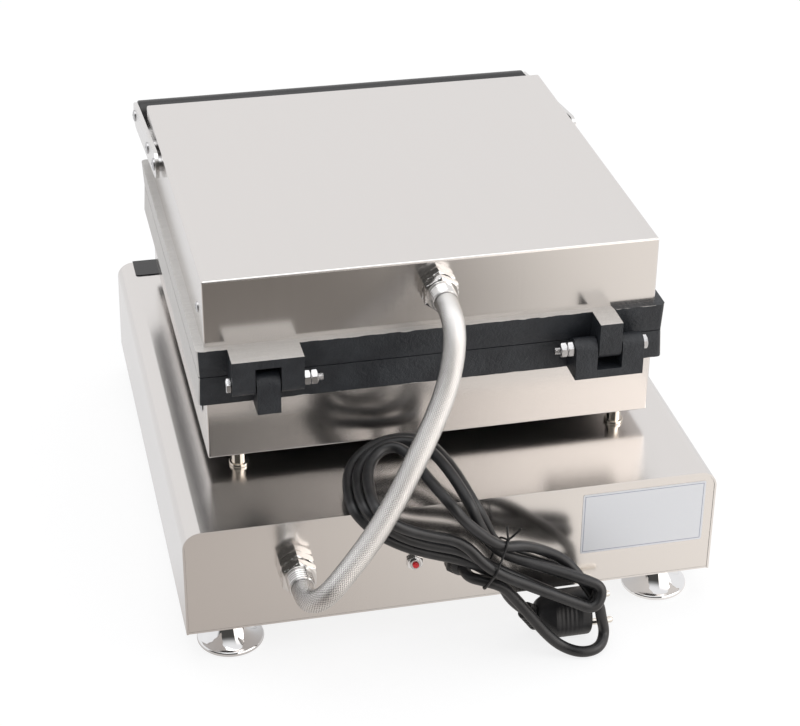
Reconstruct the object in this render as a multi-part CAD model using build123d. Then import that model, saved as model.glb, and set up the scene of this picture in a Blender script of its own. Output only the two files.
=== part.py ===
from build123d import *
import os
from math import atan, atan2, ceil, cos, degrees, pi, radians, sin, sqrt, tan

# Countertop cooker for balls of batter: a base box on four feet carries a hot part
# of two equal castings that close like a book, each under a stainless pan.
# Millimetres, +Z up, z = 0 on the table, +Y towards the hinges, -Y towards the user.
# The middle of the whole object, without its mains cord, is at x = y = 0.

# Driving dimensions of the base
BASE_W = 390.0
BASE_D = 429.5
BASE_TALL = 85.9
BASE_FLOOR_Z = 24.7
BASE_REAR_Y = 197.5
FRONT_LEAN = 15.8
BASE_EDGE_R = 13.0
BASE_WALL = 1.5
PANEL_SEAM = 0.15
PANEL_RECESS = 0.5
SHELL_LIP = 15.0

# Driving dimensions of the two pans and the castings
PAN_W = 330.0
PAN_D = 313.4
COVER_H = 51.1
LOWER_H = 48.5
PAN_WALL = 1.2
PAN_EDGE_R = 1.6
PAN_REAR_Y = 122.8
CAST_T = 21.4
CAST_GAP = 0.6
CAST_W = 342.6
CAST_REAR_LEDGE = 6.0
CAST_FRONT_LEDGE = 7.6
CAST_DRAFT = 3.5
CAST_CORNER_R = 4.0
POST_H = 11.4

# Pockets
POCKETS = 4
POCKET_R = 29.0
POCKET_PITCH = 76.0
POCKET_WALL = 4.0
POCKET_LIP_R = 1.2

# Hinges: a fork on one side, a tongue on the other, and a bolt through each pair
HINGE_X = 124.0
HINGE_BEHIND_PAN = 18.5
FORK_HALF = 25.5
SLOT_HALF = 9.2
TONGUE_HALF = 8.4
LUG_R = 8.0
SLOT_REACH = 15.0
BOLT_R = 3.0
RUNNING_CLEAR = 0.05
BOLT_HEAD_AF = 10.0
BOLT_HEAD_T = 4.0
NUT_T = 5.0
NUT_GAP = 0.2
BOLT_TAIL = 4.0

# Side screws that hold the pans to bosses on the castings
SIDE_SCREW_IN = 25.0
SIDE_SCREW_UP = 19.1
SIDE_SCREW_R = 2.0
SIDE_HEAD_R = 4.0
SIDE_HEAD_T = 1.6
BOSS_T = 12.0
BOSS_W = 16.0
BOSS_OVER = 7.0

# Heaters and what holds them
HEATER_R = 4.0
HEATER_LANE_OUT = 147.0
HEATER_LANE_IN = 76.0
HEATER_END_Y = 12.0
HEATER_CROSS_Y = 8.0
HEATER_PIN_R = 2.0
HEATER_PIN_L = 12.0
HEATER_GAP = 0.1
CLAMP_W = 14.0
CLAMP_T = 3.0
CLAMP_L = 316.0
CLAMP_BOSS_R = 6.0
CLAMP_SCREW_R = 2.5
CLAMP_HEAD_R = 4.5
CLAMP_HEAD_T = 3.0
BLANKET_W = 260.0
BLANKET_INSET = 20.0
BLANKET_T = 28.0
BLANKET_CORNER_R = 8.0
BULB_R = 3.0
BULB_L = 90.0

# Handle
BAR_R = 12.5
SPACER_T = 2.0
BAR_L = PAN_W + 2 * SPACER_T
BAR_AHEAD = 52.6
BAR_UNDER_TOP = 31.0
BAR_END_R = 1.0
ARM_W = 22.0
ARM_T = 3.0
ARM_REAR_Y = 228.0
ARM_FRONT_HOLE_Y = 272.0
ARM_REAR_UNDER_TOP = 13.5
HANDLE_SCREW_R = 2.5
HANDLE_HEAD_R = 5.0
HANDLE_HEAD_T = 4.0
SPACER_R = 6.0
NUT_PLATE_T = 6.0

# Posts, sleeve and feet
POST_X = 142.0
POST_IN = 8.0
POST_R = 5.2
POST_COLLAR_R = 7.2
POST_COLLAR_T = 2.4
POST_BOLT_R = 3.0
SLEEVE_R = 10.0
SLEEVE_BORE_R = 7.5
SLEEVE_OVER = 9.0
SLEEVE_NUT_AF = 26.0
LOCK_NUT_T = 5.0
FOOT_SIDE_IN = 34.0
FOOT_X = BASE_W / 2 - FOOT_SIDE_IN
FOOT_IN = 22.7
FOOT_R = 24.5
FOOT_NECK_R = 9.0
FOOT_RIM = 3.0
STUD_R = 4.0
STUD_OVER = 14.0
FOOT_NUT_AF = 13.0
FOOT_NUT_T = 6.5
BOTTOM_SCREW_R = 2.0
BOTTOM_SCREW_PITCH = 110.0
VENT_W = 3.2
VENT_L = 60.0
VENT_PITCH = 10.0
VENTS = 9

# Controls on the leaning front panel, measured along the panel
OVERLAY_T = 0.8
OVERLAY_HALF = 182.0
OVERLAY_BACK = 26.0
OVERLAY_FOOT = 6.0
KNOB_X = 40.0
TIMER_SIDE_IN = 70.0
TIMER_X = BASE_W / 2 - TIMER_SIDE_IN
KNOB_SKIRT_R = 22.0
KNOB_GRIP_R = 15.0
KNOB_SKIRT_T = 4.0
KNOB_T = 20.0
KNOB_OFF = 1.5
SHAFT_R = 3.0
BUSH_R = 5.0
CONTROL_BODY = 40.0
CONTROL_BODY_T = 30.0
LAMP_X = -60.0
LAMP_STEP = 36.0
LAMP_R = 5.5
LAMP_RIM_R = 7.5
LAMP_RIM_T = 1.6
LAMP_BODY_L = 26.0
SWITCH_SIDE_IN = 55.0
SWITCH_X = SWITCH_SIDE_IN - BASE_W / 2
SWITCH_W = 15.0
SWITCH_H = 31.0
SWITCH_RIM_T = 2.0
SWITCH_BODY_W = 12.6
SWITCH_BODY_H = 27.0
SWITCH_BODY_T = 24.0
PADDLE_W = 8.6
PADDLE_HALF_H = 10.4
PADDLE_CLEAR = 1.0
PADDLE_TILT = 9.0
PADDLE_PIN_R = 1.0
HOLE_CLEAR = 0.3

# Rear panel
GLAND_X = -3.0
GLAND_Z = 61.0
GLAND_AF = 20.0
GLAND_HEX_T = 5.0
GLAND_L = 11.8
GLAND_LIP = 2.2
GLAND_R = 7.5
RESET_X = 30.0
RESET_Z = 64.0
RESET_BUTTON_R = 2.4
RESET_NUT_AF = 11.0
RESET_NUT_T = 3.0
RESET_BUSH_R = 4.0
RESET_OUT = 6.5
LIMITER_R = 11.0
LIMITER_T = 16.0
PLATE_SIDE_IN = 54.5
PLATE_X = PLATE_SIDE_IN - BASE_W / 2
PLATE_Z = 77.5
PLATE_W = 93.0
PLATE_H = 51.0
PLATE_T = 0.4

# Conduit hose and its glands
HOSE_R = 8.0
HOSE_BORE_R = 5.5
HOSE_AF = 24.0
HOSE_HEX_T = 8.0
HOSE_COLLAR_R = 10.0
HOSE_GLAND_L = 28.0
COVER_GLAND_X = -1.0
COVER_GLAND_UNDER_TOP = 19.0
BASE_GLAND_X = 116.0
BASE_GLAND_Z = 73.0

# Mains cord
CORD_R = 4.0
PLUG_R = 17.5
PLUG_L = 36.0
PLUG_REAR_R = 12.0
PLUG_TAPER = 9.0
PLUG_FACE_X = -94.0
PLUG_BEHIND = 21.3
PLUG_LIFT = 0.2
RELIEF_R = 9.0
RELIEF_TIP_R = 6.4
RELIEF_L = 13.5
RELIEF_RIBS = 4
PIN_R = 2.4
PIN_L = 19.0
PIN_SHANK_R = 2.0
PIN_SHANK_IN = 12.0
PIN_SHOULDER = 0.3
PIN_TIP_R = 1.2
PIN_SPACING = 19.0
PIN_ROLL = 30.0
TIE_R = 0.8
TIE_CLEAR = 1.1
TIE_TAIL = 13.0

# Worked out from the driving dimensions
BASE_TOP_Z = BASE_FLOOR_Z + BASE_TALL
BASE_FRONT_Y = BASE_REAR_Y - BASE_D
BOX_BOTTOM_Z = BASE_TOP_Z + POST_H
BOX_TOP_Z = BOX_BOTTOM_Z + LOWER_H
HINGE_Z = BOX_TOP_Z + CAST_T + CAST_GAP / 2
HINGE_Y = PAN_REAR_Y + HINGE_BEHIND_PAN
COVER_BOTTOM_Z = HINGE_Z + CAST_GAP / 2 + CAST_T
COVER_TOP_Z = COVER_BOTTOM_Z + COVER_H
PAN_FRONT_Y = PAN_REAR_Y - PAN_D
PAN_MID_Y = PAN_REAR_Y - PAN_D / 2
SEAT = CAST_GAP / 2 + CAST_T
LEAN_ANGLE = degrees(atan(FRONT_LEAN / BASE_TALL))

PARTS = {}


def add(name, shape):
    """Keeps a finished sub-part under its node name."""
    PARTS[name] = shape


def block(x0, x1, y0, y1, z0, z1):
    """A box between two corners."""
    middle = Pos((x0 + x1) / 2, (y0 + y1) / 2, (z0 + z1) / 2)
    return middle * Box(abs(x1 - x0), abs(y1 - y0), abs(z1 - z0))


def rod(start, end, r):
    """A round bar from one point to another."""
    line = Vector(*end) - Vector(*start)
    place = Plane(origin=start, z_dir=line)
    return place * Cylinder(r, line.length, align=(Align.CENTER, Align.CENTER, Align.MIN))


def hexagon(start, end, across_flats):
    """A six-sided bar from one point to another."""
    line = Vector(*end) - Vector(*start)
    face = Plane(origin=start, z_dir=line) * RegularPolygon(across_flats / 2, 6, major_radius=False)
    return extrude(face, amount=line.length, dir=line.normalized())


def prism_x(points, x0, x1):
    """A closed outline in Y and Z, drawn out along X."""
    face = make_face(Polyline([(x0, y, z) for y, z in points], close=True))
    return extrude(face, amount=x1 - x0, dir=(1, 0, 0))


def group(shapes):
    """Several separate solids under one node."""
    solids = []
    for shape in shapes:
        solids.extend(shape.solids())
    return Compound(children=solids)


# Base box


def wrap(inset, z_low):
    """Solid under the folded sheet of the base: flat top with two rounded long edges."""
    half = BASE_W / 2 - inset
    body = block(-half, half, BASE_FRONT_Y - 1, BASE_REAR_Y + 1, z_low, BASE_TOP_Z - inset)
    long_edges = [
        e
        for e in body.edges().filter_by(Axis.Y)
        if e.center().Z > BASE_TOP_Z - inset - 1
    ]
    return fillet(long_edges, radius=BASE_EDGE_R - inset)


def front_prism(out, half, y_back, z_low, z_high):
    """Solid behind the leaning front plane, which is moved out by a given amount."""
    shift = out / cos(radians(LEAN_ANGLE))

    def front_y(z):
        return BASE_FRONT_Y + (z - BASE_FLOOR_Z) * FRONT_LEAN / BASE_TALL - shift

    outline = [
        (front_y(z_low), z_low),
        (front_y(z_high), z_high),
        (y_back, z_high),
        (y_back, z_low),
    ]
    return prism_x(outline, -half, half)


def base_body():
    """Everything between the leaning front plane and the rear edge of the shell."""
    return front_prism(0, BASE_W, BASE_REAR_Y, 0, BASE_TOP_Z + 1)


FRONT = Plane(
    origin=(0, BASE_FRONT_Y + FRONT_LEAN / 2, BASE_FLOOR_Z + BASE_TALL / 2),
    x_dir=(1, 0, 0),
    z_dir=(0, -cos(radians(LEAN_ANGLE)), sin(radians(LEAN_ANGLE))),
)


def on_front(x, up, out):
    """A place on the front panel: along it, up its slope, and out of it."""
    return FRONT * Pos(x, up, out)


def front_rod(x, up, out0, out1, r):
    """A round bar square to the front panel."""
    length = out1 - out0
    return on_front(x, up, out0) * Cylinder(r, length, align=(Align.CENTER, Align.CENTER, Align.MIN))


def front_block(x, up, w, h, out0, out1):
    """A box square to the front panel."""
    return on_front(x, up, (out0 + out1) / 2) * Box(w, h, out1 - out0)


POSTS = [
    (sx * POST_X, y)
    for sx in (-1, 1)
    for y in (PAN_REAR_Y - POST_IN, PAN_FRONT_Y + POST_IN)
]
FEET = [
    (sx * FOOT_X, y)
    for sx in (-1, 1)
    for y in (BASE_REAR_Y - FOOT_IN, BASE_FRONT_Y + FOOT_IN + FRONT_LEAN / 2)
]
FLOOR_TOP_Z = BASE_FLOOR_Z + BASE_WALL
BOTTOM_SCREWS = [
    (sx * (BASE_W / 2 - BASE_WALL - SHELL_LIP / 2), BASE_REAR_Y - BASE_D / 2 + dy)
    for sx in (-1, 1)
    for dy in (-BOTTOM_SCREW_PITCH, 0, BOTTOM_SCREW_PITCH)
]


def base_shell():
    shell = wrap(0, BASE_FLOOR_Z) - wrap(BASE_WALL, BASE_FLOOR_Z - 1)
    inner_half = BASE_W / 2 - BASE_WALL
    for side in (-1, 1):
        x0 = side * (inner_half - SHELL_LIP)
        x1 = side * inner_half
        y0 = BASE_FRONT_Y + FRONT_LEAN + BASE_WALL
        y1 = BASE_REAR_Y - PANEL_RECESS - BASE_WALL - PANEL_SEAM
        shell += block(min(x0, x1), max(x0, x1), y0, y1, FLOOR_TOP_Z, FLOOR_TOP_Z + BASE_WALL)
    shell = shell & base_body()
    for x, y in POSTS:
        shell -= rod((x, y, BASE_TOP_Z - 5), (x, y, BASE_TOP_Z + 5), POST_BOLT_R + HOLE_CLEAR)
    shell -= rod((0, PAN_MID_Y, BASE_TOP_Z - 5), (0, PAN_MID_Y, BASE_TOP_Z + 5), SLEEVE_R + HOLE_CLEAR)
    for x, y in BOTTOM_SCREWS:
        shell -= rod((x, y, BASE_FLOOR_Z), (x, y, FLOOR_TOP_Z + 5), BOTTOM_SCREW_R + RUNNING_CLEAR)
    return shell


def rear_hole(x, z, r):
    return rod((x, BASE_REAR_Y - 10, z), (x, BASE_REAR_Y + 10, z), r)


def base_rear_panel():
    y1 = BASE_REAR_Y - PANEL_RECESS
    low = FLOOR_TOP_Z + PANEL_SEAM
    panel = wrap(BASE_WALL + PANEL_SEAM, low) & block(-BASE_W, BASE_W, y1 - BASE_WALL, y1, 0, BASE_TOP_Z)
    panel -= rear_hole(GLAND_X, GLAND_Z, GLAND_R + HOLE_CLEAR)
    panel -= rear_hole(RESET_X, RESET_Z, RESET_BUSH_R + HOLE_CLEAR)
    panel -= rear_hole(BASE_GLAND_X, BASE_GLAND_Z, HOSE_COLLAR_R - 1 + HOLE_CLEAR)
    return panel


def base_front_panel():
    low = FLOOR_TOP_Z + BASE_WALL + PANEL_SEAM
    slab = front_prism(0, BASE_W, BASE_REAR_Y, 0, BASE_TOP_Z) - front_prism(
        -BASE_WALL, BASE_W, BASE_REAR_Y + 1, -1, BASE_TOP_Z + 1
    )
    panel = wrap(BASE_WALL + PANEL_SEAM, low) & slab
    return cut_controls(panel)


def cut_controls(panel):
    """Holes for the shafts, the lamps and the switch, through the panel and its overlay."""
    for x in (KNOB_X, TIMER_X):
        panel -= front_rod(x, 0, -5, 5, BUSH_R + HOLE_CLEAR)
    for k in range(2):
        panel -= front_rod(LAMP_X + k * LAMP_STEP, 0, -5, 5, LAMP_R + HOLE_CLEAR)
    w = SWITCH_BODY_W + 2 * HOLE_CLEAR
    h = SWITCH_BODY_H + 2 * HOLE_CLEAR
    return panel - front_block(SWITCH_X, 0, w, h, -5, 5)


def control_overlay():
    top = BASE_TOP_Z + OVERLAY_T
    back = BASE_FRONT_Y + FRONT_LEAN + OVERLAY_BACK
    low = BASE_FLOOR_Z + OVERLAY_FOOT
    outer = front_prism(OVERLAY_T, OVERLAY_HALF, back, low, top)
    inner = front_prism(0, OVERLAY_HALF + 1, back + 1, low - 1, BASE_TOP_Z)
    film = outer - inner
    rear_corners = [
        e
        for e in film.edges().filter_by(Axis.Z)
        if abs(e.center().Y - back) < 0.01
    ]
    film = fillet(rear_corners, radius=3)
    return cut_controls(film)


def base_bottom_plate():
    half = BASE_W / 2 - BASE_WALL - PANEL_SEAM
    y1 = BASE_REAR_Y - PANEL_RECESS
    plate = block(-half, half, BASE_FRONT_Y, y1, BASE_FLOOR_Z, FLOOR_TOP_Z)
    plate = plate & front_prism(0, BASE_W, BASE_REAR_Y, 0, BASE_TOP_Z)
    for x, y in FEET:
        plate -= rod((x, y, BASE_FLOOR_Z - 1), (x, y, FLOOR_TOP_Z + 1), STUD_R + HOLE_CLEAR)
    for x, y in BOTTOM_SCREWS:
        plate -= rod((x, y, BASE_FLOOR_Z - 1), (x, y, FLOOR_TOP_Z + 1), BOTTOM_SCREW_R + RUNNING_CLEAR)
    for row in (-90, 90):
        for k in range(VENTS):
            x = (k - (VENTS - 1) / 2) * VENT_PITCH
            y = BASE_REAR_Y - BASE_D / 2 + row
            plate -= block(x - VENT_W / 2, x + VENT_W / 2, y - VENT_L / 2, y + VENT_L / 2, 0, 50)
    return plate


def bottom_screws():
    screws = []
    for x, y in BOTTOM_SCREWS:
        head = rod((x, y, BASE_FLOOR_Z - 2), (x, y, BASE_FLOOR_Z), 2 * BOTTOM_SCREW_R)
        shank = rod((x, y, BASE_FLOOR_Z - 1), (x, y, FLOOR_TOP_Z + BASE_WALL + 5), BOTTOM_SCREW_R)
        screws.append(head + shank)
    return group(screws)


def foot(x, y):
    """A spun bell with a rolled rim, closed on top, and the stud that it hangs on."""
    top = BASE_FLOOR_Z
    waist_z = top - 9
    curve = ThreePointArc(
        (FOOT_NECK_R, 0, top - 4),
        (FOOT_NECK_R + 4.2, 0, waist_z - 3.4),
        (FOOT_R - 0.6, 0, FOOT_RIM),
    )
    outline = [
        Line((0, 0, 0), (0, 0, top)),
        Line((0, 0, top), (FOOT_NECK_R, 0, top)),
        Line((FOOT_NECK_R, 0, top), (FOOT_NECK_R, 0, top - 4)),
        curve,
        Line((FOOT_R - 0.6, 0, FOOT_RIM), (FOOT_R, 0, FOOT_RIM / 2)),
        Line((FOOT_R, 0, FOOT_RIM / 2), (FOOT_R - 0.6, 0, 0)),
        Line((FOOT_R - 0.6, 0, 0), (0, 0, 0)),
    ]
    bell = revolve(make_face(outline), axis=Axis.Z)
    bell += rod((0, 0, top - 1), (0, 0, top + BASE_WALL + STUD_OVER), STUD_R)
    return Pos(x, y, 0) * bell


def ring_nut(x, y, z0, z1, across, bore):
    return hexagon((x, y, z0), (x, y, z1), across) - rod((x, y, z0 - 1), (x, y, z1 + 1), bore)


def foot_nuts():
    z0 = FLOOR_TOP_Z
    bore = STUD_R + RUNNING_CLEAR
    return group([ring_nut(x, y, z0, z0 + FOOT_NUT_T, FOOT_NUT_AF, bore) for x, y in FEET])


def support_posts():
    posts = []
    for x, y in POSTS:
        post = rod((x, y, BASE_TOP_Z), (x, y, BOX_BOTTOM_Z), POST_R)
        post += rod((x, y, BASE_TOP_Z), (x, y, BASE_TOP_Z + POST_COLLAR_T), POST_COLLAR_R)
        post -= rod((x, y, BASE_TOP_Z - 1), (x, y, BOX_BOTTOM_Z + 1), POST_BOLT_R + RUNNING_CLEAR)
        posts.append(post)
    return group(posts)


def post_bolts():
    """Bolts from inside the base up into the lower box, each with its nut on top."""
    bolts = []
    for x, y in POSTS:
        under = BASE_TOP_Z - BASE_WALL
        inside = BOX_BOTTOM_Z + PAN_WALL
        bolts.append(
            hexagon((x, y, under - 4), (x, y, under), BOLT_HEAD_AF)
            + rod((x, y, under - 1), (x, y, inside + NUT_T + 2), POST_BOLT_R)
        )
        bolts.append(ring_nut(x, y, inside, inside + NUT_T, BOLT_HEAD_AF, POST_BOLT_R + RUNNING_CLEAR))
    return group(bolts)


def wire_sleeve():
    z0 = BASE_TOP_Z - BASE_WALL - SLEEVE_OVER
    z1 = BOX_BOTTOM_Z + PAN_WALL + SLEEVE_OVER
    tube = rod((0, PAN_MID_Y, z0), (0, PAN_MID_Y, z1), SLEEVE_R)
    return tube - rod((0, PAN_MID_Y, z0 - 1), (0, PAN_MID_Y, z1 + 1), SLEEVE_BORE_R)


def rear_nut(x, z, across, bore):
    """A lock nut on the inner face of the rear panel."""
    y1 = BASE_REAR_Y - PANEL_RECESS - BASE_WALL
    y0 = y1 - LOCK_NUT_T
    return hexagon((x, y0, z), (x, y1, z), across) - rod((x, y0 - 1, z), (x, y1 + 1, z), bore)


def lock_nuts():
    bore = SLEEVE_R + RUNNING_CLEAR
    under = BASE_TOP_Z - BASE_WALL
    inside = BOX_BOTTOM_Z + PAN_WALL
    return group(
        [
            ring_nut(0, PAN_MID_Y, under - LOCK_NUT_T, under, SLEEVE_NUT_AF, bore),
            ring_nut(0, PAN_MID_Y, inside, inside + LOCK_NUT_T, SLEEVE_NUT_AF, bore),
            rear_nut(GLAND_X, GLAND_Z, GLAND_AF, GLAND_R + RUNNING_CLEAR),
            rear_nut(BASE_GLAND_X, BASE_GLAND_Z, HOSE_AF + 2, HOSE_COLLAR_R - 1 + RUNNING_CLEAR),
        ]
    )


# Hot part


def pan(height):
    """A folded tray: floor at z = height, open at z = 0, in the frame of the hinge line."""
    half = PAN_W / 2
    y1 = -HINGE_BEHIND_PAN
    y0 = y1 - PAN_D
    outer = block(-half, half, y0, y1, 0, height)
    rounded = [e for e in outer.edges() if e.center().Z > 0.1]
    outer = fillet(rounded, radius=PAN_EDGE_R)
    w = PAN_WALL
    inner = block(-half + w, half - w, y0 + w, y1 - w, -1, height - w)
    tray = outer - inner
    for x, y in side_screw_places():
        hole = rod((x - 20, y, SIDE_SCREW_UP), (x + 20, y, SIDE_SCREW_UP), SIDE_SCREW_R + RUNNING_CLEAR)
        tray -= hole
    return tray


def side_screw_places():
    """Points on the side walls of a pan, in the frame of the hinge line."""
    y_rear = -HINGE_BEHIND_PAN - SIDE_SCREW_IN
    y_front = -HINGE_BEHIND_PAN - PAN_D + SIDE_SCREW_IN
    return [(sx * PAN_W / 2, y) for sx in (-1, 1) for y in (y_rear, y_front)]


def pocket_places():
    """Pocket centres on the parting plane, in the frame of the hinge line."""
    mid_y = -HINGE_BEHIND_PAN - PAN_D / 2
    span = (POCKETS - 1) / 2
    return [
        ((i - span) * POCKET_PITCH, mid_y + (j - span) * POCKET_PITCH)
        for i in range(POCKETS)
        for j in range(POCKETS)
    ]


def clamp_rows():
    """Lines between the pocket rows where a clamp bar crosses the heater."""
    mid_y = -HINGE_BEHIND_PAN - PAN_D / 2
    return [mid_y - POCKET_PITCH, mid_y + POCKET_PITCH]


def clamp_boss_places():
    x = (POCKETS - 1) / 2 * POCKET_PITCH
    return [(sx * x, y) for sx in (-1, 1) for y in clamp_rows()]


HEATER_Z = SEAT + HEATER_R + HEATER_GAP
CLAMP_Z = HEATER_Z + HEATER_R + HEATER_GAP


def lug(x0, x1):
    """Hinge lug: full depth of the casting behind it, rounded about the hinge line."""
    root_y = -HINGE_BEHIND_PAN - 4
    face = block(x0, x1, root_y, LUG_R, 0, SEAT)
    return face + rod((x0, 0, 0), (x1, 0, 0), LUG_R)


def casting():
    """The upper casting about the hinge line: parting plane down, hot side up."""
    y1 = -HINGE_BEHIND_PAN + CAST_REAR_LEDGE
    y0 = -HINGE_BEHIND_PAN - PAN_D - CAST_FRONT_LEDGE
    outline = Rectangle(CAST_W, y1 - y0)
    outline = fillet(outline.vertices(), radius=CAST_CORNER_R)
    top = Pos(0, (y0 + y1) / 2, SEAT) * outline
    plate = extrude(top, amount=-CAST_T, taper=CAST_DRAFT)
    for x, y in pocket_places():
        shell = Pos(x, y, 0) * Sphere(POCKET_R + POCKET_WALL)
        plate += shell & block(x - 40, x + 40, y - 40, y + 40, SEAT - 1, 60)
    for x, y in clamp_boss_places():
        plate += rod((x, y, SEAT - 1), (x, y, CLAMP_Z), CLAMP_BOSS_R)
        plate -= rod((x, y, SEAT - 5), (x, y, CLAMP_Z + 1), CLAMP_SCREW_R + RUNNING_CLEAR)
    for x, y in side_screw_places():
        inside = abs(x) - PAN_WALL
        side = 1 if x > 0 else -1
        x0 = side * (inside - BOSS_T)
        x1 = side * inside
        z1 = SEAT + SIDE_SCREW_UP + BOSS_OVER
        plate += block(min(x0, x1), max(x0, x1), y - BOSS_W / 2, y + BOSS_W / 2, SEAT - 1, z1)
        z = SEAT + SIDE_SCREW_UP
        plate -= rod((x0, y, z), (x1 + side, y, z), SIDE_SCREW_R + RUNNING_CLEAR)
    fork = lug(HINGE_X - FORK_HALF, HINGE_X + FORK_HALF)
    slot_y = -HINGE_BEHIND_PAN + CAST_REAR_LEDGE
    fork -= block(HINGE_X - SLOT_HALF, HINGE_X + SLOT_HALF, slot_y, 20, -20, SLOT_REACH)
    tongue = lug(-HINGE_X - TONGUE_HALF, -HINGE_X + TONGUE_HALF)
    plate += fork
    plate += tongue
    for side in (-1, 1):
        x0 = side * HINGE_X - FORK_HALF - 1
        x1 = side * HINGE_X + FORK_HALF + 1
        plate -= rod((x0, 0, 0), (x1, 0, 0), BOLT_R + RUNNING_CLEAR)
    below = block(-CAST_W, CAST_W, y0 - 5, slot_y - 0.01, -30, CAST_GAP / 2)
    plate -= below
    for x, y in pocket_places():
        plate -= Pos(x, y, 0) * Sphere(POCKET_R)
    lips = [
        e
        for e in plate.edges().filter_by(GeomType.CIRCLE)
        if abs(e.center().Z - CAST_GAP / 2) < 0.01 and abs(e.radius - POCKET_R) < 0.5
    ]
    return fillet(lips, radius=POCKET_LIP_R)


def heater():
    """A tubular element that runs between the pocket rows, both ends at the rear."""
    mid_y = -HINGE_BEHIND_PAN - PAN_D / 2
    end_y = -HINGE_BEHIND_PAN - HEATER_END_Y
    cross_y = -HINGE_BEHIND_PAN - HEATER_CROSS_Y - HEATER_R
    turn_r = (HEATER_LANE_OUT - HEATER_LANE_IN) / 2
    front_y = mid_y - (POCKETS - 1) / 2 * POCKET_PITCH - turn_r
    corners = [
        (-HEATER_LANE_OUT, end_y),
        (-HEATER_LANE_OUT, front_y),
        (-HEATER_LANE_IN, front_y),
        (-HEATER_LANE_IN, cross_y),
        (HEATER_LANE_IN, cross_y),
        (HEATER_LANE_IN, front_y),
        (HEATER_LANE_OUT, front_y),
        (HEATER_LANE_OUT, end_y),
    ]
    radii = [turn_r - 0.5, turn_r - 0.5, 12, 12, turn_r - 0.5, turn_r - 0.5]
    path = FilletPolyline([(x, y, HEATER_Z) for x, y in corners], radius=radii)
    tube = sweep(Plane(origin=path @ 0, z_dir=path % 0) * Circle(HEATER_R), path=path)
    for side in (-1, 1):
        x = side * HEATER_LANE_OUT
        tube += rod((x, end_y - 1, HEATER_Z), (x, end_y + HEATER_PIN_L - 4, HEATER_Z), HEATER_PIN_R)
    return tube


def clamp_bars():
    bars = []
    for y in clamp_rows():
        bar = block(-CLAMP_L / 2, CLAMP_L / 2, y - CLAMP_W / 2, y + CLAMP_W / 2, CLAMP_Z, CLAMP_Z + CLAMP_T)
        for x, row_y in clamp_boss_places():
            if row_y == y:
                bar -= rod((x, y, CLAMP_Z - 1), (x, y, CLAMP_Z + 9), CLAMP_SCREW_R + RUNNING_CLEAR)
        bars.append(bar)
    return group(bars)


def clamp_screws():
    screws = []
    for x, y in clamp_boss_places():
        z = CLAMP_Z + CLAMP_T
        screws.append(
            rod((x, y, SEAT - 4), (x, y, z + 1), CLAMP_SCREW_R)
            + rod((x, y, z), (x, y, z + CLAMP_HEAD_T), CLAMP_HEAD_R)
        )
    return group(screws)


def blanket(height):
    z1 = SEAT + height - PAN_WALL
    y1 = -HINGE_BEHIND_PAN - BLANKET_INSET
    y0 = -HINGE_BEHIND_PAN - PAN_D + BLANKET_INSET
    wool = block(-BLANKET_W / 2, BLANKET_W / 2, y0, y1, z1 - BLANKET_T + COVER_H - height, z1)
    return fillet(wool.edges().filter_by(Axis.Z), radius=BLANKET_CORNER_R)


def side_screws():
    """Screws through the side walls of a pan into the bosses of its casting."""
    screws = []
    for x, y in side_screw_places():
        side = 1 if x > 0 else -1
        z = SEAT + SIDE_SCREW_UP
        head = rod((x, y, z), (x + side * SIDE_HEAD_T, y, z), SIDE_HEAD_R)
        shank = rod((x - side * (PAN_WALL + 9), y, z), (x + side, y, z), SIDE_SCREW_R)
        screws.append(head + shank)
    return group(screws)


def hinge_bolt():
    """Bolt through the fork at +X: head outside, tail inside."""
    x_head = HINGE_X + FORK_HALF
    x_tail = HINGE_X - FORK_HALF - 2 * (NUT_T + NUT_GAP) - BOLT_TAIL
    head = hexagon((x_head, 0, 0), (x_head + BOLT_HEAD_T, 0, 0), BOLT_HEAD_AF)
    return head + rod((x_tail, 0, 0), (x_head + 1, 0, 0), BOLT_R)


def hinge_nuts():
    nuts = []
    for k in range(2):
        x1 = HINGE_X - FORK_HALF - k * (NUT_T + NUT_GAP)
        nut = hexagon((x1 - NUT_T, 0, 0), (x1, 0, 0), BOLT_HEAD_AF)
        nuts.append(nut - rod((x1 - NUT_T - 1, 0, 0), (x1 + 1, 0, 0), BOLT_R + RUNNING_CLEAR))
    return group(nuts)


TO_UPPER = Pos(0, HINGE_Y, HINGE_Z)
TO_LOWER = Pos(0, HINGE_Y, HINGE_Z) * Rot(0, 180, 0)


def upper(shape):
    return TO_UPPER * shape


def lower(shape):
    return TO_LOWER * shape


def lower_box():
    box = lower(Pos(0, 0, SEAT) * pan(LOWER_H))
    for x, y in POSTS:
        box -= rod((x, y, BOX_BOTTOM_Z - 1), (x, y, BOX_BOTTOM_Z + 5), POST_BOLT_R + HOLE_CLEAR)
    hole = rod((0, PAN_MID_Y, BOX_BOTTOM_Z - 1), (0, PAN_MID_Y, BOX_BOTTOM_Z + 5), SLEEVE_R + HOLE_CLEAR)
    return box - hole


COVER_GLAND_Z = COVER_TOP_Z - COVER_GLAND_UNDER_TOP


def cover_pan():
    cover = upper(Pos(0, 0, SEAT) * pan(COVER_H))
    hole = rod(
        (COVER_GLAND_X, PAN_REAR_Y - 5, COVER_GLAND_Z),
        (COVER_GLAND_X, PAN_REAR_Y + 5, COVER_GLAND_Z),
        HOSE_COLLAR_R - 1 + HOLE_CLEAR,
    )
    cover -= hole
    for side in (-1, 1):
        for y, z in arm_holes():
            x = side * PAN_W / 2
            cover -= rod((x - 5, y, z), (x + 5, y, z), HANDLE_SCREW_R + HOLE_CLEAR)
    return cover


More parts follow.
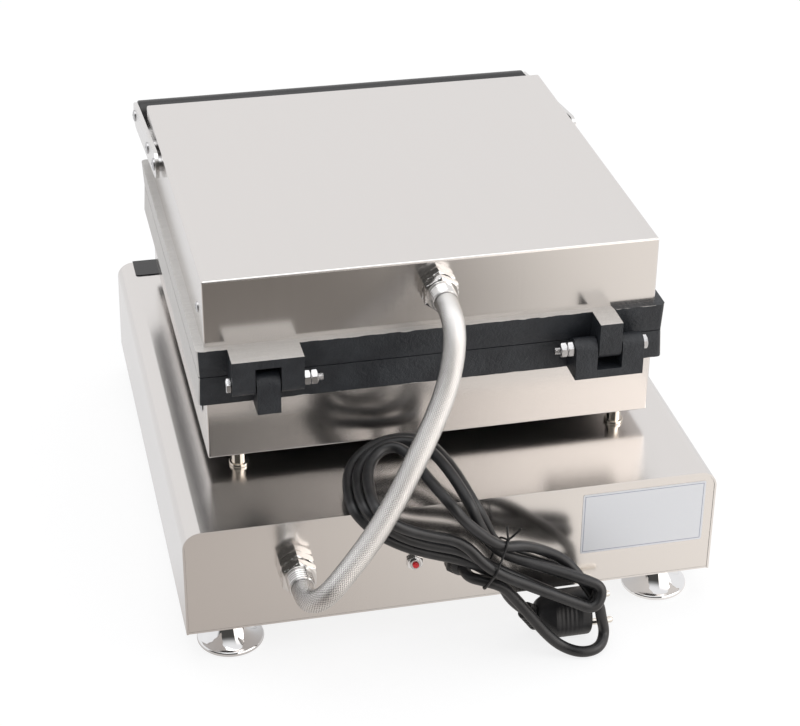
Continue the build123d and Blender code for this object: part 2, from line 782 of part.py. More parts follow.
def lower_blanket():
    hole = rod((0, PAN_MID_Y, BOX_BOTTOM_Z), (0, PAN_MID_Y, HINGE_Z), SLEEVE_R + 8)
    return lower(blanket(LOWER_H)) - hole


def thermostat_bulb():
    """Sensing bulb between two pocket columns, held against the plate by the clamp bars."""
    y0 = PAN_MID_Y - BULB_L
    z = HINGE_Z - CLAMP_Z + BULB_R + HEATER_GAP
    return rod((0, y0, z), (0, y0 + BULB_L, z), BULB_R)


# Handle


def arm_line():
    """Ends of the middle line of a handle arm, as Y and Z: rear hole, then bar."""
    rear = (PAN_REAR_Y - ARM_REAR_Y, COVER_TOP_Z - ARM_REAR_UNDER_TOP)
    bar = (PAN_FRONT_Y - BAR_AHEAD, COVER_TOP_Z - BAR_UNDER_TOP)
    return rear, bar


def arm_holes():
    """The two screw holes of an arm on the side of the cover, as Y and Z."""
    rear, bar = arm_line()
    share = (ARM_FRONT_HOLE_Y - ARM_REAR_Y) / (rear[0] - bar[0])
    second = (rear[0] + share * (bar[0] - rear[0]), rear[1] + share * (bar[1] - rear[1]))
    return [rear, second]


def handle_arms():
    arms = []
    rear, bar = arm_line()
    run = sqrt((bar[0] - rear[0]) ** 2 + (bar[1] - rear[1]) ** 2)
    tilt = degrees(atan2(bar[1] - rear[1], rear[0] - bar[0]))
    for side in (-1, 1):
        x0 = side * BAR_L / 2
        x1 = side * (BAR_L / 2 + ARM_T)
        flat = SlotCenterToCenter(run, ARM_W)
        mid = ((rear[0] + bar[0]) / 2, (rear[1] + bar[1]) / 2)
        place = Plane(
            origin=(min(x0, x1), mid[0], mid[1]),
            x_dir=(0, -cos(radians(tilt)), sin(radians(tilt))),
            z_dir=(1, 0, 0),
        )
        arm = extrude(place * flat, amount=ARM_T, dir=(1, 0, 0))
        for y, z in arm_holes() + [bar]:
            arm -= rod((x0 - side * 5, y, z), (x1 + side * 5, y, z), HANDLE_SCREW_R + RUNNING_CLEAR)
        arms.append(arm)
    return group(arms)


def handle_bar():
    y, z = arm_line()[1]
    bar = rod((-BAR_L / 2, y, z), (BAR_L / 2, y, z), BAR_R)
    bar = fillet(bar.edges().filter_by(GeomType.CIRCLE), radius=BAR_END_R)
    bar -= rod((-BAR_L / 2 - 1, y, z), (-BAR_L / 2 + 20, y, z), HANDLE_SCREW_R + RUNNING_CLEAR)
    bar -= rod((BAR_L / 2 - 20, y, z), (BAR_L / 2 + 1, y, z), HANDLE_SCREW_R + RUNNING_CLEAR)
    return bar


def handle_screws():
    """Screws through the arms, and the nut plates that two of them share inside the cover."""
    solids = []
    for side in (-1, 1):
        face = side * (BAR_L / 2 + ARM_T)
        y, z = arm_line()[1]
        shank_end = side * (BAR_L / 2 - 16)
        solids.append(
            rod((shank_end, y, z), (face + side, y, z), HANDLE_SCREW_R)
            + rod((face, y, z), (face + side * HANDLE_HEAD_T, y, z), HANDLE_HEAD_R)
        )
        inside = side * (PAN_W / 2 - PAN_WALL)
        for y, z in arm_holes():
            solids.append(
                rod((inside - side * 8, y, z), (face + side, y, z), HANDLE_SCREW_R)
                + rod((face, y, z), (face + side * HANDLE_HEAD_T, y, z), HANDLE_HEAD_R)
            )
            nut = rod((inside, y, z), (inside - side * NUT_PLATE_T, y, z), HANDLE_HEAD_R)
            bore = rod((inside + side, y, z), (inside - side * 9, y, z), HANDLE_SCREW_R + RUNNING_CLEAR)
            solids.append(nut - bore)
    return group(solids)


def handle_spacers():
    rings = []
    for side in (-1, 1):
        x0 = side * PAN_W / 2
        x1 = side * BAR_L / 2
        for y, z in arm_holes():
            ring = rod((x0, y, z), (x1, y, z), SPACER_R)
            rings.append(ring - rod((x0 - side, y, z), (x1 + side, y, z), HANDLE_SCREW_R + RUNNING_CLEAR))
    return group(rings)


# Controls


def knob(x):
    """Skirted knob with a raised grip across it, bored for its shaft."""
    low = OVERLAY_T + KNOB_OFF
    skirt = front_rod(x, 0, low, low + KNOB_SKIRT_T, KNOB_SKIRT_R)
    body = front_rod(x, 0, low, low + KNOB_T, KNOB_GRIP_R)
    for side in (-1, 1):
        body -= front_block(x + side * (4.5 + 15), 0, 30, 60, low + KNOB_SKIRT_T + 3, low + KNOB_T + 1)
    whole = skirt + body
    return whole - front_rod(x, 0, low - 1, low + KNOB_T - 4, SHAFT_R + RUNNING_CLEAR)


def knob_shaft(x):
    return front_rod(x, 0, -BASE_WALL - 12, OVERLAY_T + KNOB_OFF + KNOB_T - 5, SHAFT_R)


def control_body(x):
    """Switch works behind the panel, held by a threaded bush with a thin nut in front."""
    top = -BASE_WALL
    body = front_block(x, 0, CONTROL_BODY, CONTROL_BODY, top - CONTROL_BODY_T, top)
    body += front_rod(x, 0, top - 1, OVERLAY_T + KNOB_OFF - 0.4, BUSH_R)
    return body - front_rod(x, 0, top - 14, 10, SHAFT_R + RUNNING_CLEAR)


def lamp_bodies():
    bodies = []
    for k in range(2):
        x = LAMP_X + k * LAMP_STEP
        body = front_rod(x, 0, -BASE_WALL - LAMP_BODY_L, OVERLAY_T, LAMP_R)
        body += front_rod(x, 0, OVERLAY_T, OVERLAY_T + LAMP_RIM_T, LAMP_RIM_R)
        body -= front_rod(x, 0, -6, 10, LAMP_R - 1.5)
        bodies.append(body)
    return group(bodies)


def lamp_lens(k):
    x = LAMP_X + k * LAMP_STEP
    r = LAMP_R - 1.5 - RUNNING_CLEAR
    lens = front_rod(x, 0, -6, OVERLAY_T + LAMP_RIM_T + 2.5, r)
    crown = [e for e in lens.edges().filter_by(GeomType.CIRCLE)]
    crown.sort(key=lambda e: e.center().Y)
    return fillet(crown[:1], radius=1.8)


def switch_housing():
    body = front_block(SWITCH_X, 0, SWITCH_BODY_W, SWITCH_BODY_H, -BASE_WALL - SWITCH_BODY_T, OVERLAY_T)
    body += front_block(SWITCH_X, 0, SWITCH_W, SWITCH_H, OVERLAY_T, OVERLAY_T + SWITCH_RIM_T)
    cavity_w = PADDLE_W + PADDLE_CLEAR
    cavity_h = 2 * (PADDLE_HALF_H + PADDLE_CLEAR)
    body -= front_block(SWITCH_X, 0, cavity_w, cavity_h, -8, 10)
    return body - paddle_pin(SWITCH_BODY_W - 1.2, PADDLE_PIN_R + RUNNING_CLEAR)


PADDLE_OUT = -1.0


def paddle_pin(length, r):
    centre = on_front(SWITCH_X, 0, PADDLE_OUT) * Rot(0, 90, 0)
    return centre * Cylinder(r, length)


def power_rocker():
    """Rocker with its lower half pressed in at rest; it turns on a pin along X."""
    h = PADDLE_HALF_H
    outline = [(-h, 4.4), (0, 3.4), (h, 4.4), (h - 0.6, -1.5), (3, -4.5), (-3, -4.5), (-h + 0.6, -1.5)]
    face = make_face(Polyline([(-PADDLE_W / 2, up, out) for up, out in outline], close=True))
    paddle = extrude(face, amount=PADDLE_W, dir=(1, 0, 0))
    placed = on_front(SWITCH_X, 0, PADDLE_OUT) * Rot(PADDLE_TILT, 0, 0) * paddle
    return placed + paddle_pin(SWITCH_BODY_W - 1.6, PADDLE_PIN_R)


# Rear panel pieces

PANEL_FACE_Y = BASE_REAR_Y - PANEL_RECESS


def limiter_body():
    """Overheat limiter: a disc inside the panel with a threaded bush through it."""
    inner = PANEL_FACE_Y - BASE_WALL
    body = rod((RESET_X, inner - LIMITER_T, RESET_Z), (RESET_X, inner, RESET_Z), LIMITER_R)
    body += rod((RESET_X, inner - 1, RESET_Z), (RESET_X, PANEL_FACE_Y + 4.5, RESET_Z), RESET_BUSH_R)
    bore = RESET_BUTTON_R + RUNNING_CLEAR
    return body - rod((RESET_X, inner - 10, RESET_Z), (RESET_X, PANEL_FACE_Y + 9, RESET_Z), bore)


def limiter_nut():
    y0 = PANEL_FACE_Y
    y1 = y0 + RESET_NUT_T
    nut = hexagon((RESET_X, y0, RESET_Z), (RESET_X, y1, RESET_Z), RESET_NUT_AF)
    return nut - rod((RESET_X, y0 - 1, RESET_Z), (RESET_X, y1 + 1, RESET_Z), RESET_BUSH_R + RUNNING_CLEAR)


def reset_button():
    y0 = PANEL_FACE_Y - BASE_WALL - 7
    button = rod((RESET_X, y0, RESET_Z), (RESET_X, PANEL_FACE_Y + RESET_OUT, RESET_Z), RESET_BUTTON_R)
    tip = max(button.edges().filter_by(GeomType.CIRCLE), key=lambda e: e.center().Y)
    return fillet([tip], radius=0.8)


def rating_plate():
    y0 = PANEL_FACE_Y
    plate = block(
        PLATE_X - PLATE_W / 2,
        PLATE_X + PLATE_W / 2,
        y0,
        y0 + PLATE_T,
        PLATE_Z - PLATE_H / 2,
        PLATE_Z + PLATE_H / 2,
    )
    return fillet(plate.edges().filter_by(Axis.Y), radius=1.5)


def mains_gland():
    y0 = PANEL_FACE_Y
    gland = hexagon((GLAND_X, y0, GLAND_Z), (GLAND_X, y0 + GLAND_HEX_T, GLAND_Z), GLAND_AF)
    upright = (Align.CENTER, Align.CENTER, Align.MIN)
    cone = Cone(GLAND_AF / 2 - 0.5, CORD_R + GLAND_LIP, GLAND_L - GLAND_HEX_T, align=upright)
    gland += Plane(origin=(GLAND_X, y0 + GLAND_HEX_T, GLAND_Z), z_dir=(0, 1, 0)) * cone
    neck_end = y0 - BASE_WALL - LOCK_NUT_T - 2
    return gland + rod((GLAND_X, neck_end, GLAND_Z), (GLAND_X, y0 + 1, GLAND_Z), GLAND_R)


def hose_gland(x, y0, z, wall):
    """Two hexagons and a ribbed collar on a threaded neck, bored for the wires."""
    neck_end = y0 - wall - LOCK_NUT_T - 2
    gland = rod((x, neck_end, z), (x, y0 + 1, z), HOSE_COLLAR_R - 1)
    gland += hexagon((x, y0, z), (x, y0 + HOSE_HEX_T, z), HOSE_AF)
    gland += rod((x, y0 + HOSE_HEX_T - 1, z), (x, y0 + HOSE_HEX_T + 2, z), HOSE_COLLAR_R)
    second = hexagon((x, y0 + HOSE_HEX_T + 2, z), (x, y0 + 2 * HOSE_HEX_T + 1, z), HOSE_AF)
    gland += second
    gland += rod((x, y0 + 2 * HOSE_HEX_T, z), (x, y0 + HOSE_GLAND_L, z), HOSE_COLLAR_R)
    return gland - rod((x, neck_end - 1, z), (x, y0 + HOSE_GLAND_L + 1, z), HOSE_BORE_R)


def terminal_block():
    """Row of mains terminals on the floor of the base, behind the gland."""
    y1 = BASE_REAR_Y - 60
    body = block(-40, 40, y1 - 22, y1, FLOOR_TOP_Z, FLOOR_TOP_Z + 20)
    for k in range(5):
        x = (k - 2) * 15
        body -= rod((x, y1 - 11, FLOOR_TOP_Z + 12), (x, y1 - 11, FLOOR_TOP_Z + 30), 3)
    return body


# Tubes on routes of straight runs joined by arcs


def bend_radii(points):
    """Largest arc that each corner's two runs allow, with a little straight left."""
    radii = []
    for a, b, c in zip(points, points[1:], points[2:]):
        first = Vector(*b) - Vector(*a)
        second = Vector(*c) - Vector(*b)
        turn = radians(first.get_angle(second))
        radii.append(0.45 * min(first.length, second.length) / tan(turn / 2))
    return radii


def tube_on(points, r, bore=0):
    """A round tube, swept along its route; returns the solid and the route's length."""
    path = FilletPolyline(points, radius=bend_radii(points))
    start = Plane(origin=path @ 0, z_dir=path % 0)
    section = start * Circle(r)
    if bore:
        section = start * (Circle(r) - Circle(bore))
    return sweep(section, path=path), path


def report_tube(name, tube, path, points, r, bore=0):
    ideal = pi * (r * r - bore * bore) * path.length
    print(name, "length", round(path.length, 1), "volume share", round(tube.volume / ideal, 5))
    print(name, "radii", [round(v, 1) for v in bend_radii(points)])


# Routes in a frame at the middle of the base's top rear edge: X, Y behind it, Z above it
HOSE_MIDDLE = [
    (-0.5, -17.7, 127.4), (2.5, -8.7, 113.4), (9, -0.2, 93.4),
    (20, 9.3, 74.4), (35, 21.3, 53.4), (53, 33.3, 27.4),
    (71, 43.3, 6.4), (91.5, 52.3, -13.1), (103, 55.8, -24.1),
    (111.1, 51.5, -32.6),
]
LEAD_POINTS = [
    (-3.0, 11.3, -49.6), (-3.0, 21.8, -49.6), (-13.0, 31.3, -47.9),
    (-27.0, 33.8, -53.1), (-34.9, 36.3, -62.7), (-45.4, 40.3, -76.4),
    (-57.6, 44.3, -93.1), (-69.0, 47.3, -103.6), (-82.0, 53.3, -106.4),
    (-96.0, 50.3, -106.4), (-104.0, 36.3, -104.1), (-100.0, 37.3, -88.6),
    (-98.5, 35.8, -78.6), (-95.15, 31.95, -73.35),
]
HANK_POINTS = [
    (-95.15, 31.95, -73.35), (-91.8, 28.1, -68.1), (-77.9, 18.8, -48.9),
    (-59.7, 22.3, -34.7), (-41.4, 27.0, -24.1), (-24.0, 31.3, -21.4),
    (0.8, 29.3, 2.1), (10.3, 26.3, 15.7), (16.9, 9.3, 20.0),
    (22.7, -11.7, 21.9), (26.5, -29.7, 23.6), (33.7, -39.7, 26.4),
    (43.7, -40.7, 25.8), (53.2, -33.7, 23.0), (60.0, -20.7, 20.4),
    (62.6, -4.7, 19.4), (63.8, 12.3, 19.0), (61.7, 25.3, 17.3),
    (54.3, 27.3, 9.3), (43.7, 27.3, 1.5), (25.8, 27.3, -6.5),
    (2.3, 28.3, -13.5), (-16.0, 37.3, -36.1), (-51.1, 43.5, -52.8),
    (-75.5, 47.2, -64.7), (-90.7, 50.7, -71.5), (-98.5, 43.4, -57.8),
    (-83.3, 39.9, -51.0), (-58.3, 32.9, -42.3), (-22.1, 24.1, -29.3),
    (-10.6, 19.3, -6.2), (-4.8, 19.3, 9.8), (1.2, -4.7, 18.4),
    (7.7, -28.7, 21.8), (14.9, -44.7, 22.9), (27.1, -52.7, 22.5),
    (39.6, -52.7, 21.6), (52.5, -45.7, 19.6), (62.8, -34.7, 16.1),
    (67.5, -20.7, 13.9), (69.3, -1.7, 13.0), (68.3, 13.8, 11.4),
    (58.2, 19.3, 2.0), (42.0, 20.3, -10.6), (24.2, 21.3, -18.5),
    (0.8, 23.3, -24.8), (-17.4, 28.3, -37.7), (-51.7, 35.2, -55.8),
    (-75.4, 39.5, -68.8), (-90.6, 43.0, -75.6), (-98.4, 35.7, -61.9),
    (-83.3, 32.2, -55.1), (-58.9, 24.7, -45.2), (-24.1, 14.3, -29.9),
    (-18.3, 12.8, -11.7), (-9.5, 11.3, 5.5), (-4.4, -17.7, 11.9),
    (2.3, -41.7, 16.3), (9.6, -57.7, 17.5), (23.2, -63.2, 18.5),
    (40.3, -62.7, 17.6), (56.8, -54.7, 15.4), (67.8, -43.7, 11.0),
    (72.7, -28.7, 8.6), (75.1, -11.7, 7.3), (75.2, 5.8, 6.3),
    (61.6, 12.3, -9.0), (40.7, 15.3, -21.9), (23.1, 17.3, -28.6),
    (-0.5, 19.3, -36.0), (-15.9, 22.0, -44.3), (-29.0, 23.3, -59.6),
    (-36.5, 22.8, -75.6), (-47.0, 21.8, -85.6),
]
TIE_AT = (-22.6, 18.9, -38.7)
TIE_SQUARE_TO = (-0.8936, 0.2063, -0.3986)


def from_edge(points):
    """Points of a route, moved to the base's top rear edge."""
    return [(x, BASE_REAR_Y + y, BASE_TOP_Z + z) for x, y, z in points]


def hose_route():
    start_y = PAN_REAR_Y + HOSE_GLAND_L
    end_y = PANEL_FACE_Y + HOSE_GLAND_L
    first = [
        (COVER_GLAND_X, start_y, COVER_GLAND_Z),
        (COVER_GLAND_X, start_y + 16, COVER_GLAND_Z),
    ]
    last = [
        (BASE_GLAND_X, end_y + 13, BASE_GLAND_Z),
        (BASE_GLAND_X, end_y, BASE_GLAND_Z),
    ]
    return first + from_edge(HOSE_MIDDLE) + last


def lead_route():
    start_y = PANEL_FACE_Y + GLAND_L
    first = (GLAND_X, start_y, GLAND_Z)
    return [first] + from_edge(LEAD_POINTS)[1:]


def samples(path, step=0.5):
    """Points along a route at even steps."""
    count = int(ceil(path.length / step))
    return [path @ (k / count) for k in range(count + 1)]


def least_self_gap(path, r, apart):
    """Smallest free space between two turns of a route that lie apart along it."""
    points = samples(path, 2.0)
    skip = int(apart / 2.0)
    least = 1e9
    for i, p in enumerate(points):
        for q in points[i + skip :]:
            least = min(least, (p - q).length)
    return least - 2 * r


def crossings(path, plane):
    """Where a route passes through a plane, in the plane's own frame."""
    local = [plane.to_local_coords(p) for p in samples(path)]
    found = []
    for a, b in zip(local, local[1:]):
        if a.Z * b.Z <= 0 and a.Z != b.Z:
            t = a.Z / (a.Z - b.Z)
            found.append((a.X + (b.X - a.X) * t, a.Y + (b.Y - a.Y) * t))
    return found


def hull(points):
    """Convex outline around points in a plane."""
    points = sorted(points)

    def half(ordered):
        chain = []
        for p in ordered:
            while len(chain) > 1:
                (ax, ay), (bx, by) = chain[-2], chain[-1]
                if (bx - ax) * (p[1] - ay) - (by - ay) * (p[0] - ax) > 0:
                    break
                chain.pop()
            chain.append(p)
        return chain[:-1]

    return half(points) + half(points[::-1])


def cord_tie(paths):
    """Thin wire drawn once around the bundle, with its two ends turned up."""
    origin = from_edge([TIE_AT])[0]
    plane = Plane(origin=origin, x_dir=(0, 0.88, 0.47), z_dir=TIE_SQUARE_TO)
    spots = []
    for path in paths:
        spots.extend([p for p in crossings(path, plane) if sqrt(p[0] ** 2 + p[1] ** 2) < 34])
    print("strands in the tie", len(spots))
    flat = make_face(Polyline([(x, y) for x, y in hull(spots)], close=True))
    ring_face = offset(flat, amount=CORD_R + TIE_R + TIE_CLEAR)
    ring = plane * ring_face.face().outer_wire()
    wire = sweep(Plane(origin=ring @ 0, z_dir=ring % 0) * Circle(TIE_R), path=ring)
    top = max(samples(ring, 1.0), key=lambda p: p.Z)
    for dx, dz in ((1.5, 1.0), (-9.0, 0.75)):
        end = (top.X + dx, top.Y + 1.5, top.Z + TIE_TAIL * dz)
        wire += rod(tuple(top), end, TIE_R)
    return wire


def mains_plug(cord_end, cord_direction):
    """Round two-pin plug lying on the table, with a ribbed strain relief towards the cord."""
    y = BASE_REAR_Y + PLUG_BEHIND
    z = PLUG_R + PLUG_LIFT
    face = Plane(origin=(PLUG_FACE_X, y, z), z_dir=(1, 0, 0))
    body = rod((PLUG_FACE_X, y, z), (PLUG_FACE_X + PLUG_L - PLUG_TAPER, y, z), PLUG_R)
    body = fillet(body.edges().filter_by(GeomType.CIRCLE).sort_by(Axis.X)[:1], radius=2.5)
    taper = Cone(PLUG_R, PLUG_REAR_R, PLUG_TAPER, align=(Align.CENTER, Align.CENTER, Align.MIN))
    body += face * Pos(0, 0, PLUG_L - PLUG_TAPER) * taper
    for side in (-1, 1):
        offset_y = side * (PLUG_R + 8.6)
        start = (PLUG_FACE_X + 9, y + offset_y * 0.94, z + offset_y * 0.34)
        body -= rod(start, (start[0] + 16, start[1], start[2]), 10)
    relief_place = Plane(origin=cord_end, z_dir=cord_direction)
    relief = Cone(RELIEF_TIP_R, RELIEF_R, RELIEF_L, align=(Align.CENTER, Align.CENTER, Align.MIN))
    relief = relief_place * relief
    for k in range(RELIEF_RIBS):
        along = 2.0 + k * 2.6
        rib = Pos(0, 0, along) * Cylinder(RELIEF_R + 0.4, 1.0)
        groove = rib - Pos(0, 0, along) * Cylinder(RELIEF_TIP_R - 0.6, 1.0)
        relief -= relief_place * groove
    plug = body + relief
    for pin in pin_lines():
        plug -= rod(pin[0], pin[1], PIN_SHANK_R)
    return plug


def pin_lines():
    y = BASE_REAR_Y + PLUG_BEHIND
    z = PLUG_R + PLUG_LIFT
    lines = []
    for side in (-1, 1):
        pin_y = y - side * PIN_SPACING / 2 * sin(radians(PIN_ROLL))
        pin_z = z + side * PIN_SPACING / 2 * cos(radians(PIN_ROLL))
        inner_x = PLUG_FACE_X + PIN_SHANK_IN
        lines.append(((PLUG_FACE_X - PIN_L, pin_y, pin_z), (inner_x, pin_y, pin_z)))
    return lines


def plug_pins():
    pins = []
    for start, end in pin_lines():
        shoulder = (PLUG_FACE_X - PIN_SHOULDER, start[1], start[2])
        pin = rod(start, shoulder, PIN_R)
        tip = pin.edges().filter_by(GeomType.CIRCLE).sort_by(Axis.X)[:1]
        shank = rod((shoulder[0] - 1, start[1], start[2]), end, PIN_SHANK_R)
        pins.append(fillet(tip, radius=PIN_TIP_R) + shank)
    return group(pins)


def gland_with_nut():
    """Hose gland of the cover with the lock nut inside the cover."""
    gland = hose_gland(COVER_GLAND_X, PAN_REAR_Y, COVER_GLAND_Z, PAN_WALL)
    y1 = PAN_REAR_Y - PAN_WALL
    y0 = y1 - LOCK_NUT_T
    nut = hexagon((COVER_GLAND_X, y0, COVER_GLAND_Z), (COVER_GLAND_X, y1, COVER_GLAND_Z), HOSE_AF + 2)
    bore = HOSE_COLLAR_R - 1 + RUNNING_CLEAR
    nut -= rod((COVER_GLAND_X, y0 - 1, COVER_GLAND_Z), (COVER_GLAND_X, y1 + 1, COVER_GLAND_Z), bore)
    return group([gland, nut])


# Base body
add("base_shell", base_shell())
add("base_rear_panel", base_rear_panel())
add("base_front_panel", base_front_panel())
add("control_overlay", control_overlay())
add("base_bottom_plate", base_bottom_plate())
add("bottom_screws", bottom_screws())
add("feet", group([foot(x, y) for x, y in FEET]))
add("foot_nuts", foot_nuts())
add("support_posts", support_posts())
add("post_bolts", post_bolts())
add("wire_sleeve", wire_sleeve())
add("lock_nuts", lock_nuts())
add("lower_box", lower_box())
add("lower_box_screws", lower(side_screws()))
add("lower_casting", lower(casting()))
add("lower_heater", lower(heater()))
add("lower_clamp_bars", lower(clamp_bars()))
add("lower_clamp_screws", lower(clamp_screws()))
add("lower_insulation", lower_blanket())
add("hinge_bolt_right", lower(hinge_bolt()))
add("hinge_nuts_right", lower(hinge_nuts()))
add("thermostat_body", control_body(KNOB_X))
add("thermostat_bulb", thermostat_bulb())
add("timer_body", control_body(TIMER_X))
add("lamp_bodies", lamp_bodies())
add("lamp_lens_power", lamp_lens(0))
add("lamp_lens_heat", lamp_lens(1))
add("switch_housing", switch_housing())
add("limiter_body", limiter_body())
add("limiter_nut", limiter_nut())
add("mains_gland", mains_gland())
add("base_hose_gland", hose_gland(BASE_GLAND_X, PANEL_FACE_Y, BASE_GLAND_Z, BASE_WALL))
add("rating_plate", rating_plate())
add("terminal_block", terminal_block())

# Moving controls
add("thermostat_knob", knob(KNOB_X))
add("thermostat_shaft", knob_shaft(KNOB_X))
add("timer_knob", knob(TIMER_X))
add("timer_shaft", knob_shaft(TIMER_X))
add("power_rocker", power_rocker())
add("reset_button", reset_button())

# Lid body
add("cover_pan", cover_pan())
add("upper_casting", upper(casting()))
add("upper_heater", upper(heater()))
add("upper_clamp_bars", upper(clamp_bars()))
add("upper_clamp_screws", upper(clamp_screws()))
add("upper_insulation", upper(blanket(COVER_H)))
add("cover_screws", upper(side_screws()))
add("cover_hose_gland", gland_with_nut())
add("hinge_bolt_left", upper(hinge_bolt()))
add("hinge_nuts_left", upper(hinge_nuts()))
add("handle_bar", handle_bar())
add("handle_arms", handle_arms())
add("handle_screws", handle_screws())
add("handle_spacers", handle_spacers())

# Hose and mains cord
hose, hose_path = tube_on(hose_route(), HOSE_R, HOSE_BORE_R)
add("conduit_hose", hose)
report_tube("hose", hose, hose_path, hose_route(), HOSE_R, HOSE_BORE_R)
lead, lead_path = tube_on(lead_route(), CORD_R)
add("cord_lead", lead)
report_tube("lead", lead, lead_path, lead_route(), CORD_R)
hank_points = from_edge(HANK_POINTS)
hank, hank_path = tube_on(hank_points, CORD_R)
add("cord_hank", hank)
report_tube("hank", hank, hank_path, hank_points, CORD_R)
print("hank least self-gap", round(least_self_gap(hank_path, CORD_R, 24), 2))
add("cord_tie", cord_tie([lead_path, hank_path]))
add("mains_plug", mains_plug(hank_points[-1], hank_path % 1))
add("plug_pins", plug_pins())

os.makedirs("parts", exist_ok=True)
for name, shape in PARTS.items():
    solids = shape.solids()
    print(name, len(solids), [round(v, 1) for v in shape.bounding_box().size], round(shape.volume))
    export_step(shape if len(solids) > 1 else solids[0], "parts/" + name + ".step")
print("parts", len(PARTS))
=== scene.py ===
import math

import bmesh
import bpy
import numpy as np
from mathutils import Matrix, Vector


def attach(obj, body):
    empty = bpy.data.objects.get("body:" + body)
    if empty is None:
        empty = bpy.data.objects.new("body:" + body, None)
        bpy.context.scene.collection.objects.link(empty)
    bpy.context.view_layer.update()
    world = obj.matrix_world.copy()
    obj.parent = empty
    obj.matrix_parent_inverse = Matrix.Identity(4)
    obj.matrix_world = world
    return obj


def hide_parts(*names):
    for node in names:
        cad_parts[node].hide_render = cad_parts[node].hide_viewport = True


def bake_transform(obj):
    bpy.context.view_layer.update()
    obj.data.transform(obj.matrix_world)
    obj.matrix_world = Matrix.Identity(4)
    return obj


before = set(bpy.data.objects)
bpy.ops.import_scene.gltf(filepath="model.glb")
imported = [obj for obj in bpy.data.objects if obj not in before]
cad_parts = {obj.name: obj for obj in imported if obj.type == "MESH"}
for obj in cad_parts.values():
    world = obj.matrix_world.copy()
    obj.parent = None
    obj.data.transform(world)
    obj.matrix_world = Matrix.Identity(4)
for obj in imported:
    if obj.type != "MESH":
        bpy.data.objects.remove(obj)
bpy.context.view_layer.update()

# Camera.
# The camera of the photograph looks down on the back of the cooker with a
# long lens. It stands 1.68 m away and leans by half a degree.
def placed(name, data):
    """A new object of some data, linked into the scene."""
    made = bpy.data.objects.new(name, data)
    bpy.context.scene.collection.objects.link(made)
    return made


camera_place = Vector((0.3152, 1.3767, 0.9321))
camera_aim = Vector((-0.0135, -0.0423, 0.0864))
camera_lean = math.radians(0.558)
camera_lens = bpy.data.cameras.new("photo_camera")
camera_lens.sensor_fit = "HORIZONTAL"
camera_lens.sensor_width = 36.0
camera_lens.lens = 93.61
camera = placed("photo_camera", camera_lens)
ahead = (camera_aim - camera_place).normalized()
level_right = ahead.cross(Vector((0, 0, 1))).normalized()
level_up = level_right.cross(ahead)
right = math.cos(camera_lean) * level_right + math.sin(camera_lean) * level_up
up = math.cos(camera_lean) * level_up - math.sin(camera_lean) * level_right
turn = Matrix((right, up, -ahead)).transposed().to_4x4()
camera.matrix_world = Matrix.Translation(camera_place) @ turn
bpy.context.scene.camera = camera
bpy.context.scene.view_settings.view_transform = "Standard"


# Studio.
# A white table in a white room, under a wide soft box and a smaller one on the
# right. What the steel mirrors behind the camera is dim on the left and bright
# on the right. Shader sums are written as Python sums on Value objects.
class Value:
    """A number, colour or vector inside a shader; arithmetic adds Math nodes."""

    def __init__(self, shader, socket):
        self.shader = shader
        self.socket = socket

    def math(self, operation, *terms):
        """A Math node on some terms."""
        return self.shader.node("Math", {"operation": operation}, dict(enumerate(terms)))

    def __add__(self, other):
        return self.math("ADD", self, other)

    def __radd__(self, other):
        return self.math("ADD", other, self)

    def __sub__(self, other):
        return self.math("SUBTRACT", self, other)

    def __rsub__(self, other):
        return self.math("SUBTRACT", other, self)

    def __mul__(self, other):
        return self.math("MULTIPLY", self, other)

    def __rmul__(self, other):
        return self.math("MULTIPLY", other, self)

    def __truediv__(self, other):
        return self.math("DIVIDE", self, other)

    def __pow__(self, other):
        return self.math("POWER", self, other)

    def __abs__(self):
        return self.math("ABSOLUTE", self)

    def least(self, other):
        """The smaller of the two."""
        return self.math("MINIMUM", self, other)

    def most(self, other):
        """The larger of the two."""
        return self.math("MAXIMUM", self, other)

    def rise(self, start, end):
        """0 at start, 1 at end, smooth between; start may be the larger."""
        entries = {"Value": self, "From Min": start, "From Max": end}
        return self.shader.node("MapRange", {"interpolation_type": "SMOOTHSTEP"}, entries)


